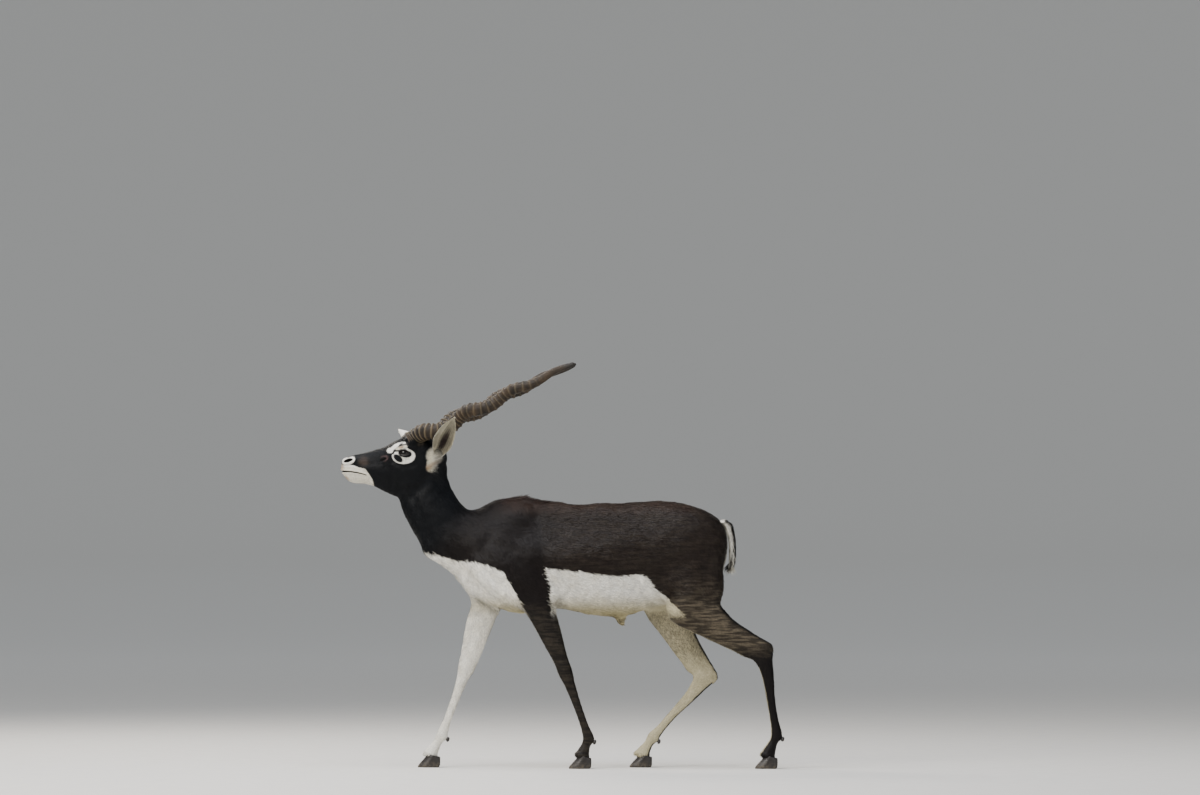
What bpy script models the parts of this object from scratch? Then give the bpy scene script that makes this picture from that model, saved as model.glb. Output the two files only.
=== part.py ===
"""Blackbuck buck (Antilope cervicapra), a still life-size model that walks with its head held up.

Metres, +Z up. The animal faces -X and its left side is at -Y. Its hooves stand on z = 0.
Tables are in millimetres, along X from a datum near mid-body and up from the floor.
"""

import math

import bmesh
import bpy
import numpy as np
from mathutils import Matrix, Vector

MM = 0.001

# Overall placing: the datum is moved so that the origin is below the middle of the bounding box.
CENTRE_X = 4.21
CENTRE_Y = -1.46
GAP = 0.3

# Resolution of the flesh: voxel size and the triangles kept after thinning.
BODY_VOXEL = 5.5
BODY_TRIANGLES = 6000
HEAD_VOXEL = 3.0
HEAD_TRIANGLES = 2400

# Trunk and neck, rump to skull: top x, top z, bottom x, bottom z, half-widths high, middle, low.
TRUNK = (
    (455, 640, 452, 575, 22, 34, 26),
    (438, 668, 440, 525, 44, 60, 48),
    (402, 694, 405, 488, 60, 78, 60),
    (345, 714, 350, 458, 70, 87, 64),
    (285, 724, 288, 440, 68, 88, 62),
    (222, 724, 223, 419, 60, 86, 62),
    (155, 719, 152, 406, 60, 93, 66),
    (88, 713, 84, 414, 60, 98, 68),
    (20, 715, 14, 427, 54, 97, 64),
    (-48, 724, -55, 426, 42, 90, 56),
    (-108, 735, -125, 420, 32, 83, 48),
    (-160, 728, -190, 437, 34, 77, 43),
    (-196, 715, -252, 477, 39, 71, 41),
    (-226, 703, -285, 515, 41, 63, 41),
    (-247, 700, -327, 548, 40, 56, 41),
    (-264, 714, -363, 582, 37, 50, 39),
    (-279, 736, -395, 631, 33, 45, 35),
    (-293, 762, -418, 676, 30, 42, 33),
    (-303, 795, -433, 710, 29, 40, 32),
    (-308, 832, -436, 742, 26, 36, 28),
    (-335, 862, -425, 775, 18, 26, 20),
)

# Head, lips to poll: x, top z, bottom z, half-widths high, middle, low.
HEAD = (
    (-592, 823, 802, 8, 11, 8),
    (-586, 833, 791, 15, 18, 13),
    (-574, 841, 776, 20, 23, 17),
    (-558, 846, 768, 21, 25, 18),
    (-530, 852, 766, 18, 25, 17),
    (-502, 860, 759, 20, 28, 17),
    (-475, 868, 745, 27, 34, 19),
    (-448, 884, 733, 36, 41, 22),
    (-424, 892, 727, 42, 45, 26),
    (-397, 899, 724, 44, 46, 30),
    (-365, 898, 730, 43, 44, 32),
    (-335, 886, 748, 35, 38, 30),
    (-312, 862, 772, 22, 26, 20),
    (-304, 842, 795, 9, 11, 9),
)

# Limb profiles: bone number plus the share along it, reach forwards, reach backwards, half-width.
FORE_PROFILE = (
    (0.0, 34, 40, 12),
    (0.3, 60, 62, 18),
    (0.65, 86, 84, 24),
    (1.0, 108, 98, 30),
    (1.5, 84, 76, 31),
    (2.0, 45, 45, 28),
    (2.3, 35, 35, 24),
    (2.55, 29, 29, 20),
    (2.82, 21, 22, 17),
    (3.0, 21, 21, 19),
    (3.16, 16, 17, 15),
    (3.5, 12, 14, 11.5),
    (3.82, 12, 14, 12),
    (4.0, 16, 18, 16),
    (4.45, 13, 14, 14),
    (5.0, 20, 19, 21),
    (5.5, 20, 18, 21),
)
HIND_PROFILE = (
    (0.0, 100, 62, 38),
    (0.3, 108, 76, 43),
    (0.55, 96, 86, 44),
    (0.8, 72, 88, 41),
    (1.0, 58, 89, 35),
    (1.28, 43, 63, 28),
    (1.5, 40, 43, 24),
    (1.72, 36, 37, 19),
    (1.86, 37, 36, 17),
    (2.0, 35, 36, 17.5),
    (2.13, 20, 27, 16),
    (2.32, 13, 22, 13),
    (2.6, 12, 15, 11.5),
    (2.84, 12, 15, 12.5),
    (3.0, 16, 18, 16.5),
    (3.45, 13, 14, 14),
    (4.0, 20, 19, 21),
    (4.5, 20, 18, 21),
)

# The right foreleg reaches ahead and bears weight: its forearm is this much fuller, by bone number.
RIGHT_FOREARM = ((2.0, 1.0), (2.3, 1.12), (2.6, 1.18), (2.85, 1.3), (3.0, 1.15), (3.2, 1.0))

# Joint chains, as x, distance from the mid plane, z.
FORE_CHAINS = {
    "left": ((-112, 26, 690), (-150, 60, 562), (-61, 62, 454), (15, 56, 259), (76, 50, 84), (62, 50, 40)),
    "right": ((-130, 26, 686), (-208, 60, 566), (-196, 60, 462), (-254, 56, 267), (-321, 50, 88), (-347, 50, 42)),
}
HIND_CHAINS = {
    "left": ((380, 40, 612), (345, 58, 425), (545, 54, 313), (583, 50, 92), (564, 50, 46)),
    "right": ((370, 40, 612), (270, 58, 438), (393, 54, 246), (250, 50, 82), (226, 50, 42)),
}
SIDES = {"left": -1, "right": 1}

# Hooves: claw length on the ground, half-width, and each claw's offset from the leg's middle.
CLAW_LENGTH = 60
CLAW_HALF_WIDTH = 10.5
CLAW_OFFSET = 12

EYE = (-418, 37.5, 850)
EYE_RADIUS = 16.5
LID_THICKNESS = 2.6
EYE_OPENING = (38, 19)

EAR_HALF_WIDTH = 25
EAR_THICKNESS = 3.4

HORN_BASE = (-409, 26, 877.5)
HORN_TIP = (41, 176, 1092.5)
HORN_BOW = 1.8
HORN_RADIUS = 19.6
HORN_TIP_RADIUS = 6.0
HORN_FOOT_SWELL = 6.0
HORN_TURNS = 3.7
HORN_COIL = 11
HORN_PHASE = {"left": 0.082, "right": 0.28}
RING_SPACING = (10.5, 18.0)
RINGED_SHARE = 0.86
RING_HEIGHT = 2.2

RING_POINTS = 20


def clear_scene():
    for obj in list(bpy.data.objects):
        bpy.data.objects.remove(obj)


def material(name, colour, roughness):
    made = bpy.data.materials.new(name)
    made.use_nodes = True
    shader = made.node_tree.nodes["Principled BSDF"]
    shader.inputs["Base Color"].default_value = (*colour, 1)
    shader.inputs["Roughness"].default_value = roughness
    made.diffuse_color = (*colour, 1)
    return made


def placed(points):
    """Table millimetres to metres in the part's frame."""
    return np.asarray(points, float) * MM


def new_object(name, vertices, faces):
    mesh = bpy.data.meshes.new(name)
    mesh.from_pydata([tuple(v) for v in vertices], [], [tuple(f) for f in faces])
    mesh.update()
    obj = bpy.data.objects.new(name, mesh)
    bpy.context.scene.collection.objects.link(obj)
    return obj


def curve_through(rows, per_span):
    """Rows of numbers on a Catmull-Rom curve through the given rows."""
    rows = np.asarray(rows, float)
    padded = np.vstack([2 * rows[0] - rows[1], rows, 2 * rows[-1] - rows[-2]])
    out = []
    for i in range(1, len(padded) - 2):
        before, start, end, after = padded[i - 1 : i + 3]
        for step in range(per_span):
            t = step / per_span
            out.append(
                0.5
                * (
                    2 * start
                    + (end - before) * t
                    + (2 * before - 5 * start + 4 * end - after) * t * t
                    + (3 * start - before - 3 * end + after) * t**3
                )
            )
    out.append(rows[-1])
    return np.array(out)


def section(front, back, side, widths, points=RING_POINTS):
    """One closed ring from front to back and round. Widths are at 0.8, 0.5 and 0.2 of the way up."""
    high, middle, low = widths
    middle_point = (front + back) / 2
    reach = (front - back) / 2
    ring = []
    for k in range(points):
        angle = 2 * math.pi * k / points
        up = math.cos(angle)
        share = min(1, abs(up) / 0.7)
        blend = share * share * (3 - 2 * share)
        width = middle + ((high if up > 0 else low) / 0.8 - middle) * blend
        ring.append(middle_point + reach * up + side * width * math.sin(angle))
    return ring


def loft(name, rings):
    """A closed skin over rings of equal count, capped by fans."""
    count = len(rings[0])
    vertices = [p for ring in rings for p in ring]
    faces = []
    for r in range(len(rings) - 1):
        for k in range(count):
            a, b = r * count + k, r * count + (k + 1) % count
            faces.append((a, b, b + count, a + count))
    for r in (0, len(rings) - 1):
        vertices.append(np.mean(rings[r], axis=0))
        hub = len(vertices) - 1
        for k in range(count):
            a, b = r * count + k, r * count + (k + 1) % count
            faces.append((a, b, hub) if r else (b, a, hub))
    obj = new_object(name, placed(vertices), faces)
    face_outwards(obj)
    return obj


def face_outwards(obj):
    work = bmesh.new()
    work.from_mesh(obj.data)
    bmesh.ops.recalc_face_normals(work, faces=work.faces)
    if work.calc_volume(signed=True) < 0:
        bmesh.ops.reverse_faces(work, faces=work.faces)
    work.to_mesh(obj.data)
    work.free()


def ellipsoid(name, centre, radii, pitch=0.0, yaw=0.0, segments=20):
    """Centre and radii in table millimetres; pitch lifts the -X end, yaw turns it about Z."""
    mesh = bpy.data.meshes.new(name)
    work = bmesh.new()
    bmesh.ops.create_uvsphere(work, u_segments=segments, v_segments=segments // 2, radius=1)
    turn = Matrix.Rotation(yaw, 4, "Z") @ Matrix.Rotation(pitch, 4, "Y")
    shape = turn @ Matrix.Diagonal((*[r * MM for r in radii], 1))
    bmesh.ops.transform(work, matrix=shape, verts=work.verts)
    bmesh.ops.translate(work, vec=placed(centre), verts=work.verts)
    work.to_mesh(mesh)
    work.free()
    obj = bpy.data.objects.new(name, mesh)
    bpy.context.scene.collection.objects.link(obj)
    return obj


def trunk_and_neck():
    rings = []
    for row in curve_through(TRUNK, 4):
        top = np.array((row[0], 0, row[1]))
        bottom = np.array((row[2], 0, row[3]))
        rings.append(section(top, bottom, np.array((0, 1.0, 0)), row[4:7], 28))
    return loft("trunk_loft", rings)


def head_mass():
    rings = []
    for row in curve_through(HEAD, 4):
        top = np.array((row[0], 0, row[1]))
        bottom = np.array((row[0], 0, row[2]))
        rings.append(section(top, bottom, np.array((0, 1.0, 0)), row[3:6], 28))
    return loft("head_loft", rings)


def chain_frame(chain, u):
    """Centre and run direction at bone number u of a joint chain, turned smoothly through each joint."""
    last = len(chain) - 2
    bone = min(int(u), last)
    share = u - bone
    centre = chain[bone] + (chain[bone + 1] - chain[bone]) * share

    def direction(b):
        run = chain[b + 1] - chain[b]
        return run / np.linalg.norm(run)

    run = direction(bone)
    if share < 0.25 and bone > 0:
        weight = 0.5 + 2 * share
        run = run * weight + direction(bone - 1) * (1 - weight)
    elif share > 0.75 and bone < last:
        weight = 0.5 + 2 * (1 - share)
        run = run * weight + direction(bone + 1) * (1 - weight)
    return centre, run / np.linalg.norm(run)


def limb(name, chain, profile, side):
    chain = np.array([(x, y * side, z) for x, y, z in chain], float)
    rows = []
    for u, forwards, backwards, half_width in profile:
        centre, run = chain_frame(chain, u)
        ahead = np.cross(run, (0, -1.0, 0))
        ahead /= np.linalg.norm(ahead)
        if ahead[0] > 0:
            ahead = -ahead
        if abs(run[0]) > abs(run[2]) and ahead[2] > 0:
            ahead = -ahead
        rows.append((*(centre + ahead * forwards), *(centre - ahead * backwards), half_width))
    rings = []
    for row in curve_through(rows, 3):
        rings.append(section(row[0:3], row[3:6], np.array((0, 1.0, 0)), (row[6] * 0.8, row[6], row[6] * 0.8)))
    return loft(name, rings)


def fore_profile(side):
    """The profile of one foreleg."""
    if side == "left":
        return FORE_PROFILE
    known, fuller = zip(*RIGHT_FOREARM)
    swell = [float(np.interp(row[0], known, fuller)) for row in FORE_PROFILE]
    return [(row[0], row[1] * g, row[2] * g, row[3]) for row, g in zip(FORE_PROFILE, swell)]


def head_details(side):
    """Masses of one side of the head that the loft doesn't carry."""
    s = SIDES[side]
    return [
        ellipsoid("orbit", (EYE[0], EYE[1] * s, EYE[2]), (EYE_RADIUS + LID_THICKNESS + 1,) * 3),
        ellipsoid("brow", (-408, 35 * s, 868), (30, 14, 9), pitch=-0.3, yaw=0.12 * s),
        ellipsoid("cheek", (-400, 25 * s, 786), (46, 17, 32), pitch=0.35),
        ellipsoid("zygoma", (-440, 31 * s, 829), (46, 11, 9), pitch=0.2, yaw=0.25 * s),
        ellipsoid("nostril_wing", (-573, 13 * s, 827), (18, 12, 13), pitch=0.3),
        ellipsoid("upper_lip", (-556, 13 * s, 806), (32, 12, 9), pitch=0.15),
        ellipsoid("horn_pedicle", (-392, 25 * s, 884), (30, 22, 15), pitch=0.2),
        ellipsoid("ear_root", (-335, 27 * s, 843), (24, 20, 28), pitch=0.3),
    ]


def leg_details():
    """Dewclaws behind each fetlock, the points of the elbows, and the sheath under the belly."""
    made = []
    for side, s in SIDES.items():
        for chain in (FORE_CHAINS[side], HIND_CHAINS[side]):
            x, y, z = chain[-2]
            for across in (-8, 8):
                made.append(ellipsoid("dewclaw", (x + 14, (y + across) * s, z - 9), (6.5, 5.5, 8)))
        elbow = FORE_CHAINS[side][2]
        made.append(ellipsoid("elbow_point", (elbow[0] + 34, elbow[1] * s, elbow[2] + 12), (20, 15, 24)))
    made.append(ellipsoid("sheath", (160, 0, 401), (14, 9, 21), pitch=-0.2))
    made.append(ellipsoid("scrotum", (322, 0, 452), (22, 24, 30)))
    return made


def soft_zone(obj, name, weight_at):
    """A vertex group whose weight follows the place of each vertex, in table millimetres."""
    group = obj.vertex_groups.new(name=name)
    for vertex in obj.data.vertices:
        weight = weight_at(*(vertex.co / MM))
        if weight > 0:
            group.add([vertex.index], min(1, weight), "REPLACE")
    return group.name


def remeshed(name, pieces, voxel, smoothing, soft_smoothing=0, soft=None):
    """One skin over all the pieces, smoothed everywhere and again in the soft zone."""
    work = bmesh.new()
    for piece in pieces:
        work.from_mesh(piece.data)
        bpy.data.objects.remove(piece)
    mesh = bpy.data.meshes.new(name)
    work.to_mesh(mesh)
    work.free()
    obj = bpy.data.objects.new(name, mesh)
    bpy.context.scene.collection.objects.link(obj)
    skin = obj.modifiers.new("skin", "REMESH")
    skin.mode = "VOXEL"
    skin.voxel_size = voxel * MM
    apply_modifiers(obj)
    smooth = obj.modifiers.new("smooth", "SMOOTH")
    smooth.factor = 0.5
    smooth.iterations = smoothing
    if soft:
        more = obj.modifiers.new("soften", "SMOOTH")
        more.factor = 0.5
        more.iterations = soft_smoothing
        more.vertex_group = soft_zone(obj, "soft", soft)
    apply_modifiers(obj)
    keep_largest(obj)
    return obj


def thinned(obj, triangles):
    obj.data.calc_loop_triangles()
    step = obj.modifiers.new("thin", "DECIMATE")
    step.ratio = triangles / len(obj.data.loop_triangles)
    step.use_collapse_triangulate = True
    apply_modifiers(obj)
    obj.vertex_groups.clear()
    return obj


def apply_modifiers(obj):
    graph = bpy.context.evaluated_depsgraph_get()
    graph.update()
    mesh = bpy.data.meshes.new_from_object(obj.evaluated_get(graph))
    obj.modifiers.clear()
    old = obj.data
    obj.data = mesh
    bpy.data.meshes.remove(old)


def keep_largest(obj):
    """Drops every closed surface but the largest."""
    work = bmesh.new()
    work.from_mesh(obj.data)
    work.verts.ensure_lookup_table()
    seen, groups = set(), []
    for start in work.verts:
        if start.index in seen:
            continue
        stack, group = [start], []
        seen.add(start.index)
        while stack:
            vertex = stack.pop()
            group.append(vertex)
            for edge in vertex.link_edges:
                other = edge.other_vert(vertex)
                if other.index not in seen:
                    seen.add(other.index)
                    stack.append(other)
        groups.append(group)
    groups.sort(key=len)
    for group in groups[:-1]:
        bmesh.ops.delete(work, geom=group, context="VERTS")
    work.to_mesh(obj.data)
    work.free()


def boolean(obj, other, operation):
    step = obj.modifiers.new(operation.lower(), "BOOLEAN")
    step.operation = operation
    step.solver = "EXACT"
    step.object = other
    apply_modifiers(obj)


def copy_of(obj, name):
    made = bpy.data.objects.new(name, obj.data.copy())
    bpy.context.scene.collection.objects.link(made)
    return made


def hull(name, corners):
    """A closed convex cutter through corners in table millimetres."""
    mesh = bpy.data.meshes.new(name)
    work = bmesh.new()
    for corner in placed(corners):
        work.verts.new(corner)
    bmesh.ops.convex_hull(work, input=work.verts)
    bmesh.ops.recalc_face_normals(work, faces=work.faces)
    work.to_mesh(mesh)
    work.free()
    obj = bpy.data.objects.new(name, mesh)
    bpy.context.scene.collection.objects.link(obj)
    return obj


def grown(obj, by):
    """A copy with each face moved out along the vertex normals, in millimetres."""
    made = copy_of(obj, obj.name + "_grown")
    step = made.modifiers.new("grow", "DISPLACE")
    step.mid_level = 0
    step.strength = by * MM
    apply_modifiers(made)
    return made


def part_off(whole, name, cutter):
    """Takes the share of whole inside cutter as its own node, leaving the gap between the two."""
    piece = copy_of(whole, name)
    boolean(piece, cutter, "INTERSECT")
    keep_largest(piece)
    wide = grown(cutter, GAP * 1.8)
    boolean(whole, wide, "DIFFERENCE")
    keep_largest(whole)
    bpy.data.objects.remove(wide)
    bpy.data.objects.remove(cutter)
    return piece


FAR = 400


def slab(name, high_end, low_end, side_sign):
    """A block whose face holds the line from high_end to low_end in the side view, across the body.

    side_sign -1 puts the block ahead of the line, towards -X, and 1 behind it.
    """
    (hx, hz), (lx, lz) = high_end, low_end
    run = np.array((hx - lx, hz - lz), float)
    run /= np.linalg.norm(run)
    away = np.array((run[1], -run[0])) * FAR * 2
    if away[0] * side_sign < 0:
        away = -away
    start, end = np.array((hx, hz)) + run * FAR, np.array((lx, lz)) - run * FAR
    corners = [(*p[:1], y, *p[1:]) for p in (start, end, start + away, end + away) for y in (-FAR, FAR)]
    return hull(name, corners)


def claw(name, chain, side, which):
    """One half of a hoof: a wedge with a flat sole, a sloping toe wall and a rounded heel."""
    x, y, z = chain[-1]
    s = SIDES[side]
    centre_y = y * s + which * CLAW_OFFSET
    toe, heel = x - CLAW_LENGTH + 22, x + 22
    rings = []
    for height, front, back, half in (
        (0, toe, heel - 3, CLAW_HALF_WIDTH - 0.4),
        (5, toe + 1, heel, CLAW_HALF_WIDTH + 0.5),
        (16, toe + 10, heel + 1, CLAW_HALF_WIDTH + 0.5),
        (30, toe + 22, heel, CLAW_HALF_WIDTH),
        (48, toe + 32, heel - 6, CLAW_HALF_WIDTH - 1),
    ):
        ring = []
        for k in range(12):
            angle = 2 * math.pi * k / 12
            along = math.cos(angle)
            taper = 1 - 0.45 * max(along, 0) ** 2
            px = (front + back) / 2 - along * (back - front) / 2
            py = math.sin(angle) * half * taper - which * 1.5 * max(along, 0)
            ring.append(np.array((px, centre_y + py, height), float))
        rings.append(ring)
    return loft(name, rings)


def coronet(chain, side):
    """The block below the sloping top edge of one hoof, reaching over that foot alone."""
    x, y, _ = chain[-1]
    s = SIDES[side]
    outline = ((x - 60, 52), (x + 60, 18), (x - 60, -30), (x + 60, -30))
    return hull("coronet", [(px, y * s + dy, pz) for px, pz in outline for dy in (-34, 34)])


def horn(side, sides=9):
    """A ringed corkscrew that leans back and outwards, thick at the brow and blunt at the tip."""
    s = SIDES[side]
    base = np.array((HORN_BASE[0], HORN_BASE[1] * s, HORN_BASE[2]), float)
    tip = np.array((HORN_TIP[0], HORN_TIP[1] * s, HORN_TIP[2]), float)
    run = (tip - base) / np.linalg.norm(tip - base)
    up = np.array((0, 0, 1.0)) - run * run[2]
    up /= np.linalg.norm(up)
    across = np.cross(run, up) * -s
    stations = [(0.0, 0.0)]
    at = 0.012
    length = np.linalg.norm(tip - base)
    while at < RINGED_SHARE:
        spacing = (RING_SPACING[0] + (RING_SPACING[1] - RING_SPACING[0]) * min(1, 1.5 * at)) / length
        fade = min(1, (RINGED_SHARE - at) / 0.2)
        stations += [(at, 0.0), (at + 0.55 * spacing, fade)]
        at += spacing
    stations += [(at + (1 - at) * k / 5, 0.0) for k in range(6)]

    def centre(share):
        angle = 2 * math.pi * HORN_TURNS * (share - HORN_PHASE[side])
        coil = HORN_COIL * (1 - 0.82 * share) * (1 - math.exp(-share / 0.045))
        bow = HORN_BOW * (4 * share * (1 - share) - math.sin(2 * math.pi * share)) * up
        return base + run * length * share + bow + coil * (up * math.cos(angle) + across * math.sin(angle))

    rings = []
    for share, ridge in stations:
        here = centre(share)
        ahead = centre(share + 0.004) - centre(max(0, share - 0.004))
        ahead /= np.linalg.norm(ahead)
        u_axis = up - ahead * np.dot(up, ahead)
        u_axis /= np.linalg.norm(u_axis)
        v_axis = np.cross(ahead, u_axis)
        radius = HORN_RADIUS + (HORN_TIP_RADIUS - HORN_RADIUS) * share**2.2
        radius += HORN_FOOT_SWELL * math.exp(-share / 0.082)
        radius += RING_HEIGHT * ridge * (1 - 0.4 * share)
        rings.append(
            [
                here + radius * (u_axis * math.cos(a) + v_axis * math.sin(a))
                for a in (2 * math.pi * k / sides for k in range(sides))
            ]
        )
    return loft("horn_" + side, rings)


def ear(side, root, tip, opening, rows=12, columns=8):
    """A leaf-shaped cup, rolled at the root and pointed at the tip, open towards the given direction."""
    s = SIDES[side]
    root = np.array((root[0], root[1] * s, root[2]), float)
    tip = np.array((tip[0], tip[1] * s, tip[2]), float)
    run = (tip - root) / np.linalg.norm(tip - root)
    facing = np.array((opening[0], opening[1] * s, opening[2]), float)
    facing -= run * np.dot(facing, run)
    facing /= np.linalg.norm(facing)
    across = np.cross(run, facing)
    length = np.linalg.norm(tip - root)
    inner, outer = [], []
    for i in range(rows + 1):
        u = i / rows
        width = EAR_HALF_WIDTH * (0.52 + 0.48 * math.sin(math.pi * min(1, u * 0.95 + 0.12))) * (1 - u**5.0) + 0.9
        if u < 0.3:
            width *= 0.72 + 0.28 * u / 0.3
        wrap = math.radians(118 - 62 * min(1, u / 0.55))
        curl = width / math.sin(min(wrap, math.pi / 2))
        for j in range(columns + 1):
            v = -1 + 2 * j / columns
            angle = v * wrap
            radial = -facing * math.cos(angle) + across * math.sin(angle)
            lift = curl * (math.cos(wrap) * 0.5 + 0.5 * min(1, u / 0.4)) + 4 * u * u
            hub = root + run * length * u + facing * lift
            edge = 1 - 0.45 * abs(v) ** 3
            thick = EAR_THICKNESS * edge * (1 - 0.35 * u)
            inner.append(hub + radial * curl)
            outer.append(hub + radial * (curl + thick))
    stride = columns + 1
    count = len(inner)
    faces = []
    for i in range(rows):
        for j in range(columns):
            a = i * stride + j
            faces.append((a, a + 1, a + stride))
            faces.append((a + 1, a + stride + 1, a + stride))
            b = a + count
            faces.append((b, b + stride, b + 1))
            faces.append((b + 1, b + stride, b + stride + 1))
    border = [j for j in range(columns)]
    rim = [(j, j + 1) for j in border]
    rim += [(i * stride + columns, (i + 1) * stride + columns) for i in range(rows)]
    rim += [(rows * stride + j + 1, rows * stride + j) for j in reversed(border)]
    rim += [((i + 1) * stride, i * stride) for i in reversed(range(rows))]
    for a, b in rim:
        faces.append((a, b, b + count))
        faces.append((a, b + count, a + count))
    obj = new_object("ear_" + side, placed(inner + outer), faces)
    face_outwards(obj)
    return obj


def leg_block(side, outline):
    """A block over one leg: a convex outline in the side view, from the mid plane outwards."""
    s = SIDES[side]
    return hull("leg_block", [(x, y * s, z) for x, z in outline for y in (2, FAR)])


LEG_BLOCKS = {
    "leg_front_left": ("left", ((-105, 361), (22, 414), (118, 414), (118, -80), (-105, -80))),
    "leg_front_right": ("right", ((-268, 428), (-140, 376), (-60, 200), (-60, -80), (-480, -80), (-480, 428))),
    "leg_hind_left": ("left", ((390, 303), (467, 446), (760, 446), (760, -80), (350, -80))),
    "leg_hind_right": ("right", ((250, 328), (385, 415), (600, 415), (600, -80), (100, -80))),
}


def tail():
    """A short flat tail that hangs close to the rump, with the long hair of its end in tapered locks."""
    pieces = []
    rows = (
        (436, 668, 15, 12),
        (453, 655, 17, 13),
        (463, 628, 17, 11),
        (466, 600, 18, 10),
        (466, 572, 18, 9),
        (463, 550, 14, 7),
    )
    rings = []
    for x, z, half_width, half_depth in curve_through(rows, 2):
        ring = []
        for k in range(12):
            angle = 2 * math.pi * k / 12
            lean = np.array((math.cos(0.25), 0, math.sin(0.25))) * half_depth * math.cos(angle)
            ring.append(np.array((x, half_width * math.sin(angle), z)) + lean)
        rings.append(ring)
    pieces.append(loft("tail_core", rings))
    for k in range(9):
        across = (k - 4) / 4
        root = np.array((465 + 3 * (k % 2), across * 13, 582 - 5 * (k % 3)))
        tip = np.array((457 + 6 * (k % 2), across * 17, 524 - 10 * (1 - across * across) + 5 * (k % 2)))
        pieces.append(lock(root, tip, 5.5, 1.0))
    made = remeshed("tail", pieces, 1.8, 1)
    return thinned(made, 700)


def lock(root, tip, root_radius, tip_radius, sides=7):
    """One tapered lock of hair."""
    root, tip = np.array(root, float), np.array(tip, float)
    run = (tip - root) / np.linalg.norm(tip - root)
    first = np.cross(run, (1.0, 0, 0))
    first /= np.linalg.norm(first)
    second = np.cross(run, first)
    rings = []
    for share in (0, 0.35, 0.7, 1):
        radius = root_radius + (tip_radius - root_radius) * share**1.3
        centre = root + (tip - root) * share + np.array((0, 0, -2.0)) * math.sin(math.pi * share)
        ring = []
        for k in range(sides):
            angle = 2 * math.pi * k / sides
            ring.append(centre + radius * (first * math.cos(angle) + second * math.sin(angle)))
        rings.append(ring)
    return loft("lock", rings)


def eye_cutter(side):
    """The almond opening between the lids, as a plug that points outwards from the eye's middle."""
    s = SIDES[side]
    centre = np.array((EYE[0], EYE[1] * s, EYE[2]), float)
    gaze = np.array((-0.22, s, 0.08))
    gaze /= np.linalg.norm(gaze)
    along = np.array((1.0, 0, -0.12))
    along -= gaze * np.dot(along, gaze)
    along /= np.linalg.norm(along)
    up = np.cross(along, gaze) * s
    if up[2] < 0:
        up = -up
    points = []
    for reach, scale in ((4, 0.8), (40, 1.25)):
        for k in range(16):
            angle = 2 * math.pi * k / 16
            across = math.cos(angle) * EYE_OPENING[0] / 2
            rise = math.sin(angle) * abs(math.sin(angle)) ** 0.35 * EYE_OPENING[1] / 2
            points.append(centre + gaze * reach + (along * across + up * rise) * scale)
    return hull("eye_opening", points)


def mouth_cutter():
    """A thin wedge that runs along the line of the mouth from one corner round the front to the other."""
    line = ((-522, 789, 21), (-541, 796, 20), (-559, 799, 18), (-575, 801, 14), (-584, 801.5, 7), (-587, 802, 0))
    path = [(x, -y, z) for x, z, y in line] + [(x, y, z) for x, z, y in reversed(line[:-1])]
    path = np.array(path, float)
    rings = []
    for i, apex in enumerate(path):
        ahead = path[min(i + 1, len(path) - 1)] - path[max(i - 1, 0)]
        out = np.array((-ahead[1], ahead[0], 0))
        out *= math.copysign(16, -(out @ (path.mean(axis=0) - apex))) / np.linalg.norm(out)
        rings.append([apex, apex + out + (0, 0, 1.6), apex + out - (0, 0, 1.6)])
    return loft("mouth", rings)


def carve(obj, cutters):
    for cutter in cutters:
        boolean(obj, cutter, "DIFFERENCE")
        bpy.data.objects.remove(cutter)


def fit_outside(obj, other):
    """Trims obj back from other so that a narrow gap is left between them."""
    wide = grown(other, GAP)
    boolean(obj, wide, "DIFFERENCE")
    bpy.data.objects.remove(wide)
    keep_largest(obj)


def body_softness(x, y, z):
    """Full on the trunk, none on the lower legs and none where the fine head takes over."""
    return min((z - 385) / 60, 1) if x > -330 else 0.4


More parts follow.
